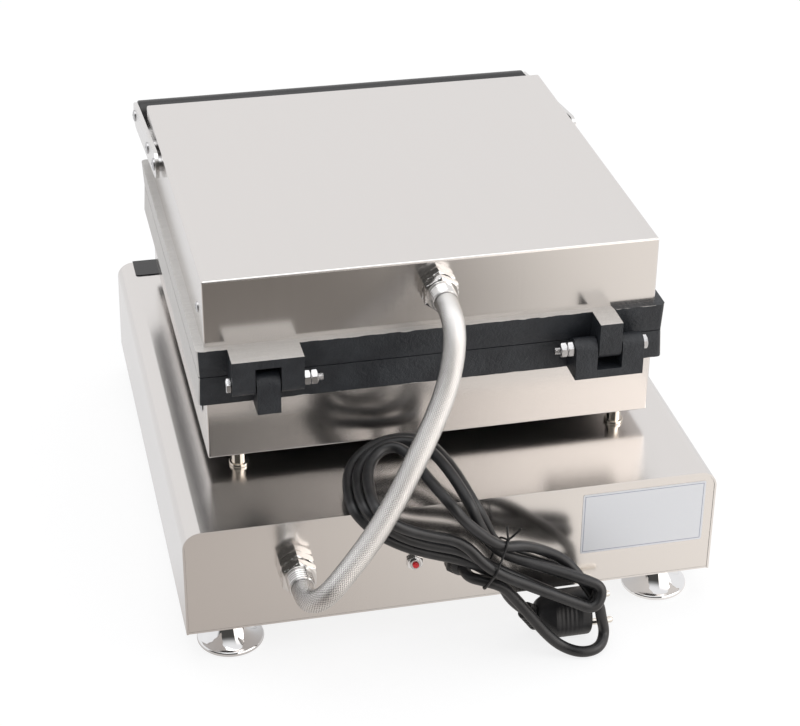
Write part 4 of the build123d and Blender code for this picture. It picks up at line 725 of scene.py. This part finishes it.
def coated(mesh):
    """Marks each face: 2 inside a pocket, which is black all over, 1 on other coated
    faces, 0 on machined and hidden metal. A pocket's faces lie within POCKET_REACH of
    its middle on the parting plane."""
    count = len(mesh.polygons)
    middle, facing = np.empty(count * 3), np.empty(count * 3)
    mesh.polygons.foreach_get("center", middle)
    mesh.polygons.foreach_get("normal", facing)
    middle, facing = middle.reshape(-1, 3), np.abs(facing.reshape(-1, 3))
    reach = np.abs(middle[:, 2] - PARTING)
    machined = (facing[:, 2] > 0.7) & (reach > MACHINED_REACH)
    sides = (facing[:, 0] > 0.7) & (np.abs(middle[:, 0]) > PAN_SIDE)
    hidden = reach > HIDDEN_REACH
    cell = (middle[:, :2] - POCKETS_MIDDLE) / POCKET_PITCH - 0.5
    flat_reach = POCKET_PITCH * np.linalg.norm(cell - np.round(cell), axis=1)
    pocket = np.hypot(flat_reach, reach) < POCKET_REACH
    mark = np.where(pocket, 2.0, ~(machined | sides | hidden))
    mesh.attributes.new("coat", "FLOAT", "FACE").data.foreach_set("value", mark.astype(np.float32))


cast = shader_for("coated_casting")
cast_reach = abs(cast.axes()[2] - PARTING)
cast_wave = (cast_reach + 0.0032 * cast.noise(95, detail=2.5)).rise(0.02335, 0.02315)
cast_mark = cast.node("Attribute", {"attribute_name": "coat"}, output=2)
coat_share = (cast_mark.least(1.0) * cast_wave).most(cast_mark.rise(1.4, 1.6))
sand = cast.noise(900, detail=4.0, rough=0.65)
mill = cast.noise(1.0, (40, 500, 40), 3.0)
grit = cast.noise(330, detail=5.0, rough=0.6)
bare_tone = cast.mix(sand * 0.6 + mill * 0.4, rgb(0.50, 0.49, 0.475), rgb(0.80, 0.785, 0.765))
soot = cast.noise(60).rise(0.3, 0.8)
black_tone = cast.mix(soot, rgb(0.016, 0.019, 0.024), rgb(0.030, 0.034, 0.040))
coated_casting = cast.finish(
    cast.mix(coat_share, bare_tone, black_tone),
    0.46 + 0.14 * sand - 0.06 * coat_share,
    cast.bump(sand * 0.5 + grit * coat_share, 0.0007, 0.9),
    Metallic=(1 - coat_share) * 0.75,
)
rounded_copy("upper_casting", coated_casting, "lid", 0.0007, coated)
rounded_copy("lower_casting", coated_casting, "base", 0.0007, coated)


# Hinge bolts.
# Each hinge turns on an M6 hexagon bolt with a nut and a lock nut, all zinc
# plated. The heads and nuts are chamfered and the end of the bolt shows thread.
zinc = plain_metal("zinc_plate", rgb(0.60, 0.60, 0.61), 0.22, 0.2, 500, 0.3)


def hex_radius(angle, flats):
    """Distance from the axis to a hexagon's side in each direction, flat at angle 0."""
    sixth = np.pi / 3
    return flats / 2 / np.cos((angle + sixth / 2) % sixth - sixth / 2)


def hexagon_bar(start, end, flats, direction, origin, cut=0.8, sides=72, bore=HAIR):
    """Skin of a hexagon with chamfered ends: in each direction the smaller of a bar with
    a cone at each end, 1.6 across to 1 along, and the hexagon."""
    step = np.linspace(0, cut, 5)
    cone = flats / 2 * 1.1547 - 1.6 * step
    low, high = np.c_[start + step, cone[::-1]], np.c_[end - cut + step, cone]
    rows = np.vstack([[(start, bore)], low, high, [(end, bore)]])

    def hexagon(angle, along, radius):
        """The radius, cut down to the hexagon's sides."""
        return along, np.minimum(radius, hex_radius(angle, flats))

    return turned(rows, origin, direction, sides, hexagon)


def thread_bar(start, end, radius, direction, origin, pitch=1.0, depth=0.32, sides=32):
    """Skin of a threaded bar: its radius follows a wave that climbs by one pitch a turn."""
    steps = int((end - start) / pitch * 8) + 2
    rows = np.c_[np.linspace(start, end, steps), np.full(steps, radius)]
    rows[-3:, 1] -= (0.1, 0.35, 0.7)
    rows = np.vstack([[(start, HAIR)], rows, [(end, HAIR)]])

    def thread(angle, along, r):
        """The radius less a wave that climbs; the centres of the ends stay."""
        ridge = depth * wave(2 * np.pi * along / pitch - angle)
        return along, np.where(r > radius * 0.5, r - ridge, r)

    return turned(rows, origin, direction, sides, thread)


BOLT_HEAD_X, HEAD_T, SHANK_R, SHANK_END, BOLT_END = 149.5, 4.0, 3.0, 50.9, 65.4
BOLT_FLATS, NUT_T, NUT_STARTS = 10.0, 5.0, (51.0, 56.2)
shank_line = [(-0.5, HAIR), (-0.5, SHANK_R), (SHANK_END, SHANK_R), (SHANK_END, HAIR)]
for side, body, outer in ((1, "lid", "left"), (-1, "base", "right")):
    way = (-side, 0, 0)
    at = (side * BOLT_HEAD_X, HINGE[1], HINGE[2])
    bolt = [
        hexagon_bar(-HEAD_T, 0.0, BOLT_FLATS, way, at),
        turned(shank_line, at, way, 32),
        thread_bar(SHANK_END, BOLT_END, SHANK_R - 0.02, way, at),
    ]
    nuts = [hexagon_bar(start, start + NUT_T, BOLT_FLATS, way, at) for start in NUT_STARTS]
    stand_in("hinge_bolt_" + outer, bolt, zinc, body)
    stand_in("hinge_nuts_" + outer, nuts, zinc, body)


# Small screws.
# Domed cross-recess screws hold the pans to the castings and the floor to the
# shell, and low round heads with a hexagon recess hold the handle. The nuts,
# bolts and clamp bars inside are zinc plated too.
def domed(radius, height, origin, direction, recess):
    """Skin of a domed head: a circle's arc, with a recess(angle, radius) pressed in."""
    far = np.linspace(0, 1, 26)
    rise = height * np.sqrt(np.clip(1 - (far * 0.93) ** 2, 0, 1))
    rows = np.vstack([[(0, radius)], np.c_[rise, far * radius][::-1]])

    def press(angle, along, r):
        """The dome less the recess; the foot of the dome stays."""
        return along - recess(angle, r) * (along > 0), r

    return turned(rows, origin, direction, 64, press)


def cross_recess(angle, r):
    """Depth of a cross recess: at half depth its arms are 0.95 mm wide and end 2.1 mm out."""
    arm = np.minimum(np.abs(r * np.cos(angle)), np.abs(r * np.sin(angle)))
    return 0.9 * np.clip((0.55 - arm) / 0.15, 0, 1) * np.clip((2.3 - r) / 0.4, 0, 1)


def hex_recess(angle, r):
    """Depth of a hexagon recess 3 mm across its flats."""
    return 1.4 * np.clip((hex_radius(angle, 3.0) - r) / 0.15, 0, 1)


SIDE_SCREW_X, SIDE_SCREW_ROWS = 165.0, (97.8, -165.6)
COVER_SCREW_Z, BOX_SCREW_Z = 233.0, 151.4
HEAD_R, SCREW_R, SCREW_PITCH, SCREW_DEPTH = 4.0, 2.0, 0.7, 0.22


def side_heads(z):
    """The four screws of one pan, at a height."""
    heads = []
    for side in (-1, 1):
        for y in SIDE_SCREW_ROWS:
            out, place = (side, 0, 0), (side * SIDE_SCREW_X, y, z)
            heads.append(domed(HEAD_R, 1.6, place, out, cross_recess))
            heads.append(thread_bar(-9.8, 0.1, SCREW_R, out, place, SCREW_PITCH, SCREW_DEPTH, 20))
    return heads


stand_in("cover_screws", side_heads(COVER_SCREW_Z), zinc, "lid", 45)
stand_in("lower_box_screws", side_heads(BOX_SCREW_Z), zinc, "base", 45)

FLOOR_SCREW_X, FLOOR_SCREW_ROWS, FLOOR_Z = 186.0, (-127.25, -17.25, 92.75), 24.6
floor_heads = []
for side in (-1, 1):
    for y in FLOOR_SCREW_ROWS:
        x = side * FLOOR_SCREW_X
        floor_heads.append(domed(HEAD_R, 2.0, (x, y, FLOOR_Z + 0.1), (0, 0, -1), cross_recess))
        shank_spot = (x, y, FLOOR_Z)
        floor_heads.append(thread_bar(0, 8.0, SCREW_R, (0, 0, 1), shank_spot, SCREW_PITCH, SCREW_DEPTH, 20))
stand_in("bottom_screws", floor_heads, zinc, "base", 45)

ARM_FACE_X, NUT_FACE_X = 170.0, 163.8
ARM_HOLES, BAR_HOLE = ((-105.2, 251.5), (-149.2, 245.92)), (-243.2, 234.0)
ARM_SCREW_L, BAR_SCREW_L, ARM_SCREW_R, ARM_NUT_T, ARM_NUT_FLATS = 14.1, 18.9, 2.5, 6.0, 8.6
handle_fasteners = []
for side in (-1, 1):
    out = (side, 0, 0)
    for y, z in ARM_HOLES + (BAR_HOLE,):
        place = (side * ARM_FACE_X, y, z)
        depth = BAR_SCREW_L if (y, z) == BAR_HOLE else ARM_SCREW_L
        handle_fasteners.append(domed(4.9, 2.0, place, out, hex_recess))
        handle_fasteners.append(thread_bar(-depth, 0.1, ARM_SCREW_R, out, place, 0.8, 0.25, 24))
    for y, z in ARM_HOLES:
        place = (side * NUT_FACE_X, y, z)
        nut = hexagon_bar(-ARM_NUT_T, 0.0, ARM_NUT_FLATS, out, place, 0.6, 48, ARM_SCREW_R)
        handle_fasteners.append(nut)
stand_in("handle_screws", handle_fasteners, zinc, "lid", 45)
dress(zinc, "foot_nuts", "post_bolts", "lock_nuts", "wire_sleeve", "handle_spacers", "limiter_body")
rounded_copy("lower_clamp_bars", zinc, "base")
rounded_copy("upper_clamp_bars", zinc, "lid")
dress(zinc, "lower_clamp_screws", "upper_clamp_screws")


# Handle.
# A black heat-proof bar lies across the front between two flat steel arms,
# which are screwed to the sides of the cover over short spacers.
def plastic(name, tone, gloss):
    """Moulded plastic with a fine spark-eroded grain and uneven gloss."""
    resin = shader_for(name)
    cloud = resin.noise(45, detail=3.0)
    colour = resin.mix(cloud.rise(0.3, 0.8), tone, toned(tone, 1.25, 0.002))
    normal = resin.bump(resin.noise(1800), 0.00005, 0.5)
    return resin.finish(colour, gloss - 0.05 + 0.12 * cloud, normal)


BAR_HALF, BAR_R, BAR_BORE_R = 167, 12.5, 2.6
bar_corners = [(0, BAR_BORE_R), (0, BAR_R), (2 * BAR_HALF, BAR_R), (2 * BAR_HALF, BAR_BORE_R)]
bar_line = soften(bar_corners, [0, 1.6, 1.6, 0], 6)
bar_line = np.vstack([[(16, BAR_BORE_R)], bar_line, [(2 * BAR_HALF - 16, BAR_BORE_R)]])
bar_skin = turned(bar_line, (-BAR_HALF, *BAR_HOLE), (1, 0, 0), 72, caps=True)
bar_resin = plastic("bar_resin", rgb(0.016, 0.016, 0.017), 0.34)
stand_in("handle_bar", [bar_skin], bar_resin, "lid")
rounded_copy("handle_arms", arm_steel, "lid", 0.0004)


# Hose glands.
# Two nickel-plated hexagons, a collar and a ribbed ferrule grip each end of
# the braided hose. The lock nut of the lid's gland sits inside the cover.
nickel = plain_metal("nickel_plate", rgb(0.82, 0.81, 0.80), 0.13, 0.08, 300)
BACKWARDS = (0, 1, 0)
COVER_REAR, BASE_REAR = 122.8, 197.0
GLAND_FLATS, LOCK_FLATS, GLAND_THREAD_R = 24.0, 26.0, 8.98
FERRULE_START, FERRULE_END, FERRULE_R, FERRULE_PITCH = 16.6, 27.9, 9.6, 2.3


def hose_gland(at, lock):
    """Skins of a gland whose axis runs along Y from the panel face; a lock nut may
    sit behind the panel."""
    ribs = np.linspace(FERRULE_START, FERRULE_END, 70)
    ripple = 0.45 * wave((ribs - FERRULE_START) * 2 * np.pi / FERRULE_PITCH)
    rib_radius = FERRULE_R - ripple - 0.5 * np.clip((ribs - 25.5) / 2.4, 0, 1)
    rib_line = np.c_[ribs, rib_radius]
    ferrule_line = np.vstack([[(FERRULE_START, HAIR)], rib_line, [(FERRULE_END, HOSE_R + 0.1)]])
    collar_line = [(7.5, HAIR), (7.5, 10.0), (10.4, 10.0), (10.4, HAIR)]
    skins = [
        hexagon_bar(0.0, 7.9, GLAND_FLATS, BACKWARDS, at, 1.1, 96),
        hexagon_bar(10.0, 17.0, GLAND_FLATS, BACKWARDS, at, 1.5, 96),
        turned(collar_line, at, BACKWARDS, 72),
        turned(ferrule_line, at, BACKWARDS, 72),
        thread_bar(-8.0, 0.1, GLAND_THREAD_R, BACKWARDS, at, 1.5, 0.5, 64),
    ]
    if lock:
        skins.append(hexagon_bar(-6.1, -1.3, LOCK_FLATS, BACKWARDS, at, 1.0, 96, 9.0))
    return skins


stand_in("cover_hose_gland", hose_gland((-1.0, COVER_REAR, 246.0), True), nickel, "lid")
stand_in("base_hose_gland", hose_gland((116.0, BASE_REAR, 73.0), False), nickel, "base")


# Mains gland.
# A black nylon gland holds the mains cord: a hexagon against the panel and a
# domed cap with fine ribs round it.
black_nylon = plastic("black_nylon", rgb(0.014, 0.014, 0.015), 0.40)
gland_spot = (GLAND_MOUTH[0], BASE_REAR, GLAND_MOUTH[2])
cap_corners = [(4.9, HAIR), (4.9, 9.0), (9.2, 8.6), (11.7, 5.0), (11.7, 4.05)]
cap_rows = soften(cap_corners, [0, 0.8, 2.0, 0.8, 0], 6)


def cap_ribs(angle, along, radius):
    """Twenty-four shallow ribs round the wide part of the cap."""
    wide = np.clip((radius - 7.4) / 1.0, 0, 1) * (along > 5.2)
    return along, radius - wide * 0.35 * wave(24 * angle)


mains_skins = [
    hexagon_bar(0.0, 5.0, 20.0, BACKWARDS, gland_spot, 0.9, 96),
    turned(cap_rows, gland_spot, BACKWARDS, 192, cap_ribs),
    thread_bar(-8.4, 0.1, 7.45, BACKWARDS, gland_spot, 1.5, 0.5, 48),
]
stand_in("mains_gland", mains_skins, black_nylon, "base", 40)


# Reset button.
# The red-tipped button of the overheat switch stands out of a small bright
# hexagon nut on the rear panel.
chrome = plain_metal("bright_chrome", rgb(0.88, 0.885, 0.895), 0.05, 0.04, 90)
red_cap = plastic("red_cap", rgb(0.62, 0.015, 0.025), 0.22)
reset_spot = (30.0, BASE_REAR, 64.0)
limiter_ring = hexagon_bar(0.02, 3.0, 11.0, BACKWARDS, reset_spot, 0.7, 72, 4.0)
stand_in("limiter_nut", [limiter_ring], chrome, "base")
button_line = soften([(-8.4, HAIR), (-8.4, 2.35), (6.4, 2.35), (6.4, HAIR)], [0, 0, 1.4, 0], 8)
button_skin = turned(button_line, reset_spot, BACKWARDS, 40)
piece("reset_cap", [button_skin], red_cap, "reset", ["reset_button"])


# Feet and posts.
# Four chromed bell feet with a rolled rim stand on studs, and four polished
# steel posts with a collar carry the hot part above the base.
FOOT_X, FOOT_ROWS = 161.0, (174.8, -201.4)
POST_X, POST_ROWS, BASE_TOP, UPWARDS = 142.0, (114.8, -182.6), REAR_EDGE[2], (0, 0, 1)
foot_corners = [
    (0.02, HAIR), (0.02, 21.0), (1.0, 23.9), (2.6, 24.5), (4.2, 24.0), (5.0, 21.9), (6.6, 19.2),
    (9.5, 15.8), (13.5, 12.6), (18.5, 10.2), (24.6, 9.0), (24.6, 4.0), (40.1, 4.0), (40.1, HAIR),
]
foot_line = soften(foot_corners, [0, 1, 1, 1, 1, 0.8, 1.5, 2, 3, 3, 0.3, 0.2, 0.5, 0], 5)
post_corners = [(0.02, 3.06), (0.02, 7.2), (2.4, 7.2), (2.4, 5.2), (11.38, 5.2), (11.38, 3.06)]
post_line = soften(post_corners, [0, 0.5, 0.5, 0.4, 0.4, 0], 5)
feet_skins, post_skins = [], []
for side in (-1, 1):
    for foot_y, post_y in zip(FOOT_ROWS, POST_ROWS):
        foot_spot, post_spot = (side * FOOT_X, foot_y, 0), (side * POST_X, post_y, BASE_TOP)
        feet_skins.append(turned(foot_line, foot_spot, UPWARDS, 96))
        post_skins.append(turned(post_line, post_spot, UPWARDS, 64, loop=True))
warm_steel = plain_metal("post_steel", rgb(0.86, 0.80, 0.72), 0.07, 0.05, 200)
piece("bell_feet", feet_skins, chrome, "base", ["feet"], 40)
stand_in("support_posts", post_skins, warm_steel, "base", 40)


# Rating plate.
# A thin satin plate is glued to the rear panel. It is blank but for a fine
# blue-grey frame line near its edge.
PLATE_X, PLATE_Z, PLATE_HALF_X, PLATE_HALF_Z = -0.1405, 0.0775, 0.0465, 0.0255
label = shader_for("plate_print")
label_x, _, label_z = label.axes()
from_side = PLATE_HALF_X - abs(label_x - PLATE_X)
from_end = PLATE_HALF_Z - abs(label_z - PLATE_Z)
inset = from_side.least(from_end)
frame_line = inset.rise(0.0013, 0.0016) * inset.rise(0.0021, 0.0018)
paper = label.mix(label.noise(900), rgb(0.86, 0.86, 0.875), rgb(0.89, 0.89, 0.90))
plate_print = label.finish(
    label.mix(frame_line, paper, rgb(0.36, 0.37, 0.46)),
    0.42 + 0.08 * label.noise(60),
    label.bump(label.noise(1500), 0.00001, 0.4),
)
rounded_copy("rating_plate", plate_print, "base", 0.00012)


# Control panel.
# A glossy black film covers the leaning front and laps over its top edge. It
# is printed with the scales of the two dials and the marks of the switch.
LEAN = math.radians(10.42)
PANEL = np.array((0.0, -224.1, 67.65))
PANEL_UP = np.array((0.0, math.sin(LEAN), math.cos(LEAN)))
PANEL_OUT = np.array((0.0, -math.cos(LEAN), math.sin(LEAN)))
FILM_FACE, FILM_TOP = 0.83, 0.1090
TYPE_SIZE, TYPE_T, SHORT_RING, LONG_RING, NUMBER_H, SIGN_H = 1.4, 0.02, 31.0, 32.5, 3.2, 4.0
DIALS = (  # Each is a name, a place, a turn in degrees, ticks and numbers.
    ("thermostat", 40.0, 270.0, 18, ("0", "50", "100", "150", "200", "250", "300")),
    ("timer", 125.0, 300.0, 20, ("0", "1", "2", "3", "4", "5")),
)


def along_panel(y, z, direction):
    """How far a place lies from the panel's middle along a direction, in metres."""
    return (y - PANEL[1] * MM) * direction[1] + (z - PANEL[2] * MM) * direction[2]


film = shader_for("printed_film")
film_x, film_y, film_z = film.axes()
film_up = along_panel(film_y, film_z, PANEL_UP)
print_mask = 0.0
for _, dial_x, span, steps, _ in DIALS:
    tick_turn = math.radians(span / steps)
    sideways = film_x - dial_x * MM
    reach = (sideways * sideways + film_up * film_up) ** 0.5
    turn_share = sideways.math("ARCTAN2", sideways, film_up) / tick_turn
    from_tick = abs(turn_share - turn_share.math("ROUND", turn_share)) * reach * tick_turn
    tick_ring = reach.rise(0.0242, 0.0244) * reach.rise(0.0268, 0.0266)
    tick = from_tick.rise(0.00035, 0.00025) * tick_ring
    print_mask = print_mask + tick
on_front_face = film_z.rise(FILM_TOP + 0.0005, FILM_TOP)
printed_film = film.finish(
    film.mix((print_mask * on_front_face).least(1.0), rgb(0.012, 0.012, 0.013), rgb(0.72, 0.72, 0.72)),
    0.20 + 0.10 * film.noise(30, detail=3.0),
    film.bump(film.noise(700), 0.00001, 0.4),
)
dress(printed_film, "control_overlay")


def lettering(marks):
    """Points and faces of short printed marks: each is a string, its place on the
    panel, and its height; the outline font's flat shapes are laid on the film."""
    skins = []
    for words, across, upward, height in marks:
        type_curve = bpy.data.curves.new("mark", "FONT")
        type_curve.body = words
        type_curve.size = height * TYPE_SIZE
        type_curve.align_x = "CENTER"
        type_curve.align_y = "CENTER"
        type_curve.extrude = TYPE_T
        holder = bpy.data.objects.new("mark", type_curve)
        flat_mesh = bpy.data.meshes.new_from_object(holder)
        spots = np.empty(len(flat_mesh.vertices) * 3)
        flat_mesh.vertices.foreach_get("co", spots)
        spots = spots.reshape(-1, 3)
        place = PANEL + (spots + (across, upward, FILM_FACE)) @ np.stack([(1, 0, 0), PANEL_UP, PANEL_OUT])
        skins.append((place, [list(face.vertices) for face in flat_mesh.polygons]))
        bpy.data.objects.remove(holder)
        bpy.data.meshes.remove(flat_mesh)
    return skins


SWITCH_X, SIGN_LIFT = -140, 20.0
marks = [("I", SWITCH_X, SIGN_LIFT, SIGN_H), ("O", SWITCH_X, -SIGN_LIFT, SIGN_H)]
for _, dial_x, span, _, numbers in DIALS:
    for k, word in enumerate(numbers):
        way = math.radians(span * k / (len(numbers) - 1))
        far = SHORT_RING if len(word) < 3 else LONG_RING
        marks.append((word, dial_x + far * math.sin(way), far * math.cos(way), NUMBER_H))
white_ink = plastic("white_ink", rgb(0.74, 0.74, 0.74), 0.45)
piece("dial_marks", lettering(marks), white_ink, "base", sharp=60)


# Knobs.
# Two moulded knobs sit on the shafts of the thermostat and the timer. Each has
# a fluted skirt and a grip across it, with a white line that points to the scale.
BOSS_R, KNOB_T, KNOB_LIFT = 14.8, 20.0, 2.3


def knob_shape(angle, along, radius):
    """Thirty flutes round the skirt; above it the round boss draws in to a bar
    whose edge is the superellipse |u/4.4|^4 + |v/14.6|^4 = 1."""
    flute = 0.7 * wave(30 * angle) * np.clip((radius - 18.5) / 2.5, 0, 1) * (along > 0.3)
    bar = ((np.abs(np.cos(angle)) / 4.4) ** 4 + (np.abs(np.sin(angle)) / 14.6) ** 4) ** -0.25
    share = np.clip((along - 6.2) / 1.8, 0, 1)
    share = share * share * (3 - 2 * share)
    grip_radius = np.minimum(radius, (1 - share) * BOSS_R + share * bar)
    return along, np.where(along > 5.0, grip_radius, radius - flute)


knob_corners = [
    (0.0, HAIR), (0.0, 22.0), (3.2, 21.6), (4.4, 15.6), (6.2, BOSS_R), (8.2, BOSS_R), (12, BOSS_R),
    (16, BOSS_R), (KNOB_T, 14.6), (KNOB_T, HAIR),
]
knob_line = soften(knob_corners, [0, 0.5, 1.0, 0.8, 0.5, 0.5, 1, 1, 1.0, 0], 5)
knob_rows = np.vstack([knob_line[:-2], [(19.9, 14.0), (KNOB_T, 13.0), (KNOB_T, 9.0), (KNOB_T, HAIR)]])
for dial, dial_x, _, _, _ in DIALS:
    resin = shader_for(dial + "_resin")
    knob_x, knob_y, knob_z = resin.axes()
    knob_up = along_panel(knob_y, knob_z, PANEL_UP)
    knob_out = along_panel(knob_y, knob_z, PANEL_OUT)
    line = abs(knob_x - dial_x * MM).rise(0.0008, 0.0007)
    line = line * knob_up.rise(0.0050, 0.0052) * knob_out.rise(0.012, 0.0122)
    knob_resin = resin.finish(
        resin.mix(line, rgb(0.015, 0.015, 0.016), rgb(0.70, 0.70, 0.70)),
        0.34 + 0.1 * resin.noise(60),
        resin.bump(resin.noise(1600), 0.00004, 0.5),
    )
    spot = PANEL + np.array((dial_x, 0, 0)) + KNOB_LIFT * PANEL_OUT
    knob = turned(knob_rows, spot, PANEL_OUT, 180, knob_shape, PANEL_UP)
    stand_in(dial + "_knob", [knob], knob_resin, dial, 42)
turned_steel = plain_metal("turned_steel", rgb(0.60, 0.60, 0.61), 0.25, 0.1, 700)
dress(turned_steel, "thermostat_shaft", "timer_shaft")


# Lamps and switch.
# A green and an amber lamp with fluted lenses show mains and heating. The
# black rocker switch snaps into the panel.
def lens_flutes(angle, along, radius):
    """Sixteen shallow flutes round the part that stands out of the panel."""
    return along, radius - 0.12 * wave(16 * angle) * (along > 2.4) * (radius > 1.5)


lens_corners = [(-6.8, HAIR), (-6.8, 3.9), (3.6, 3.9), (4.9, 2.2), (4.9, HAIR)]
lens_line = soften(lens_corners, [0, 0, 1.0, 1.0, 0], 6)
for lens_name, slot, tint, lens_x in (
    ("lens_power", "green_lens", rgb(0.02, 0.42, 0.07), -60.0),
    ("lens_heat", "amber_lens", rgb(0.88, 0.27, 0.015), -24.0),
):
    glass = shader_for(lens_name)
    cloud = glass.noise(300)
    tint_cloud = glass.mix(cloud, tint, toned(tint, 0.8))
    lens_glass = glass.finish(tint_cloud, 0.12 + 0.06 * cloud, Coat_Weight=0.6)
    lens = turned(lens_line, PANEL + np.array((lens_x, 0, 0)), PANEL_OUT, 96, lens_flutes)
    piece(lens_name + "_round", [lens], lens_glass, "base", ["lamp_" + lens_name])
rounded_copy("lamp_bodies", black_nylon, "base", 0.0004)
rounded_copy("switch_housing", black_nylon, "base", 0.0006)
rounded_copy("power_rocker", black_nylon, "rocker", 0.0006)
dress(black_nylon, "terminal_block", "thermostat_body", "timer_body")


# Heat parts.
# Tubular elements with an oxide skin lie between the cups and are clamped
# down by steel bars. A blanket of white mineral wool keeps the heat in.
oxide = plain_metal("heater_oxide", rgb(0.23, 0.22, 0.20), 0.42, 0.2, 220, 0.6)
dress(oxide, "lower_heater", "upper_heater", "thermostat_bulb")
wool = shader_for("mineral_wool")
tufts = wool.noise(160, detail=6.0, rough=0.7)
fibres = wool.noise(1.0, (60, 900, 900), 4.0, 0.6)
mineral_wool = wool.finish(
    wool.mix(tufts * 0.6 + fibres * 0.4, rgb(0.55, 0.52, 0.46), rgb(0.82, 0.80, 0.75)),
    0.88 + 0.08 * tufts,
    wool.bump(tufts * 0.5 + fibres * 0.5, 0.0009, 0.8),
)
RIPPLE_START = 8.5  # Where the ripple starts, as an angle.


def blanket(low, high, dent):
    """A soft slab: superellipse sections along Y that shrink at both ends, with a
    slow ripple on both faces; dent is the spot, radius and height that a pipe needs."""
    middle, half = (np.array(low) + high) / 2, (np.array(high) - low) / 2
    v = np.sin(np.linspace(-np.pi / 2, np.pi / 2, 110))[:, None]
    ends = np.clip(1 - np.abs(v) ** 40, 0, 1) ** (1 / 5)
    angle = np.linspace(0, 2 * np.pi, 240, endpoint=False)[None, :]
    cos, sin = np.cos(angle), np.sin(angle)
    across = np.sign(cos) * np.abs(cos) ** 0.22
    upright = np.sign(sin) * np.abs(sin) ** 0.45
    x = middle[0] + half[0] * across * (0.985 + 0.015 * ends)
    y = middle[1] + half[1] * v + 0 * angle
    slow = np.sin(x / 17 + RIPPLE_START) * np.sin(y / 23 + RIPPLE_START)
    quick = np.sin(x / 7.3 + y / 9.1 + RIPPLE_START)
    z = middle[2] + half[2] * upright * ends * (0.92 + 0.05 * (slow + 0.6 * quick))
    if dent:
        dent_x, dent_y, dent_r, dent_z = dent
        far = np.hypot(x - dent_x, y - dent_y)
        lift = dent_z - (far > dent_r) * (far - dent_r) * 0.9
        z = np.where(z < middle[2], np.maximum(z, np.minimum(lift, middle[2] + 4)), z)
    return skin(np.stack([x, y, z], -1))


for name, body, low, high, dent in (
    ("lower", "base", (-129.5, -170.2, 123.4), (129.5, 102.4, 148.3), (0.0, -33.9, 15.5, 133.0)),
    ("upper", "lid", (-129.5, -170.2, 236.0), (129.5, 102.4, 263.6), None),
):
    slab = [blanket(low, high, dent)]
    pad = piece(name + "_blanket", slab, mineral_wool, body, [name + "_insulation"], sharp=80)
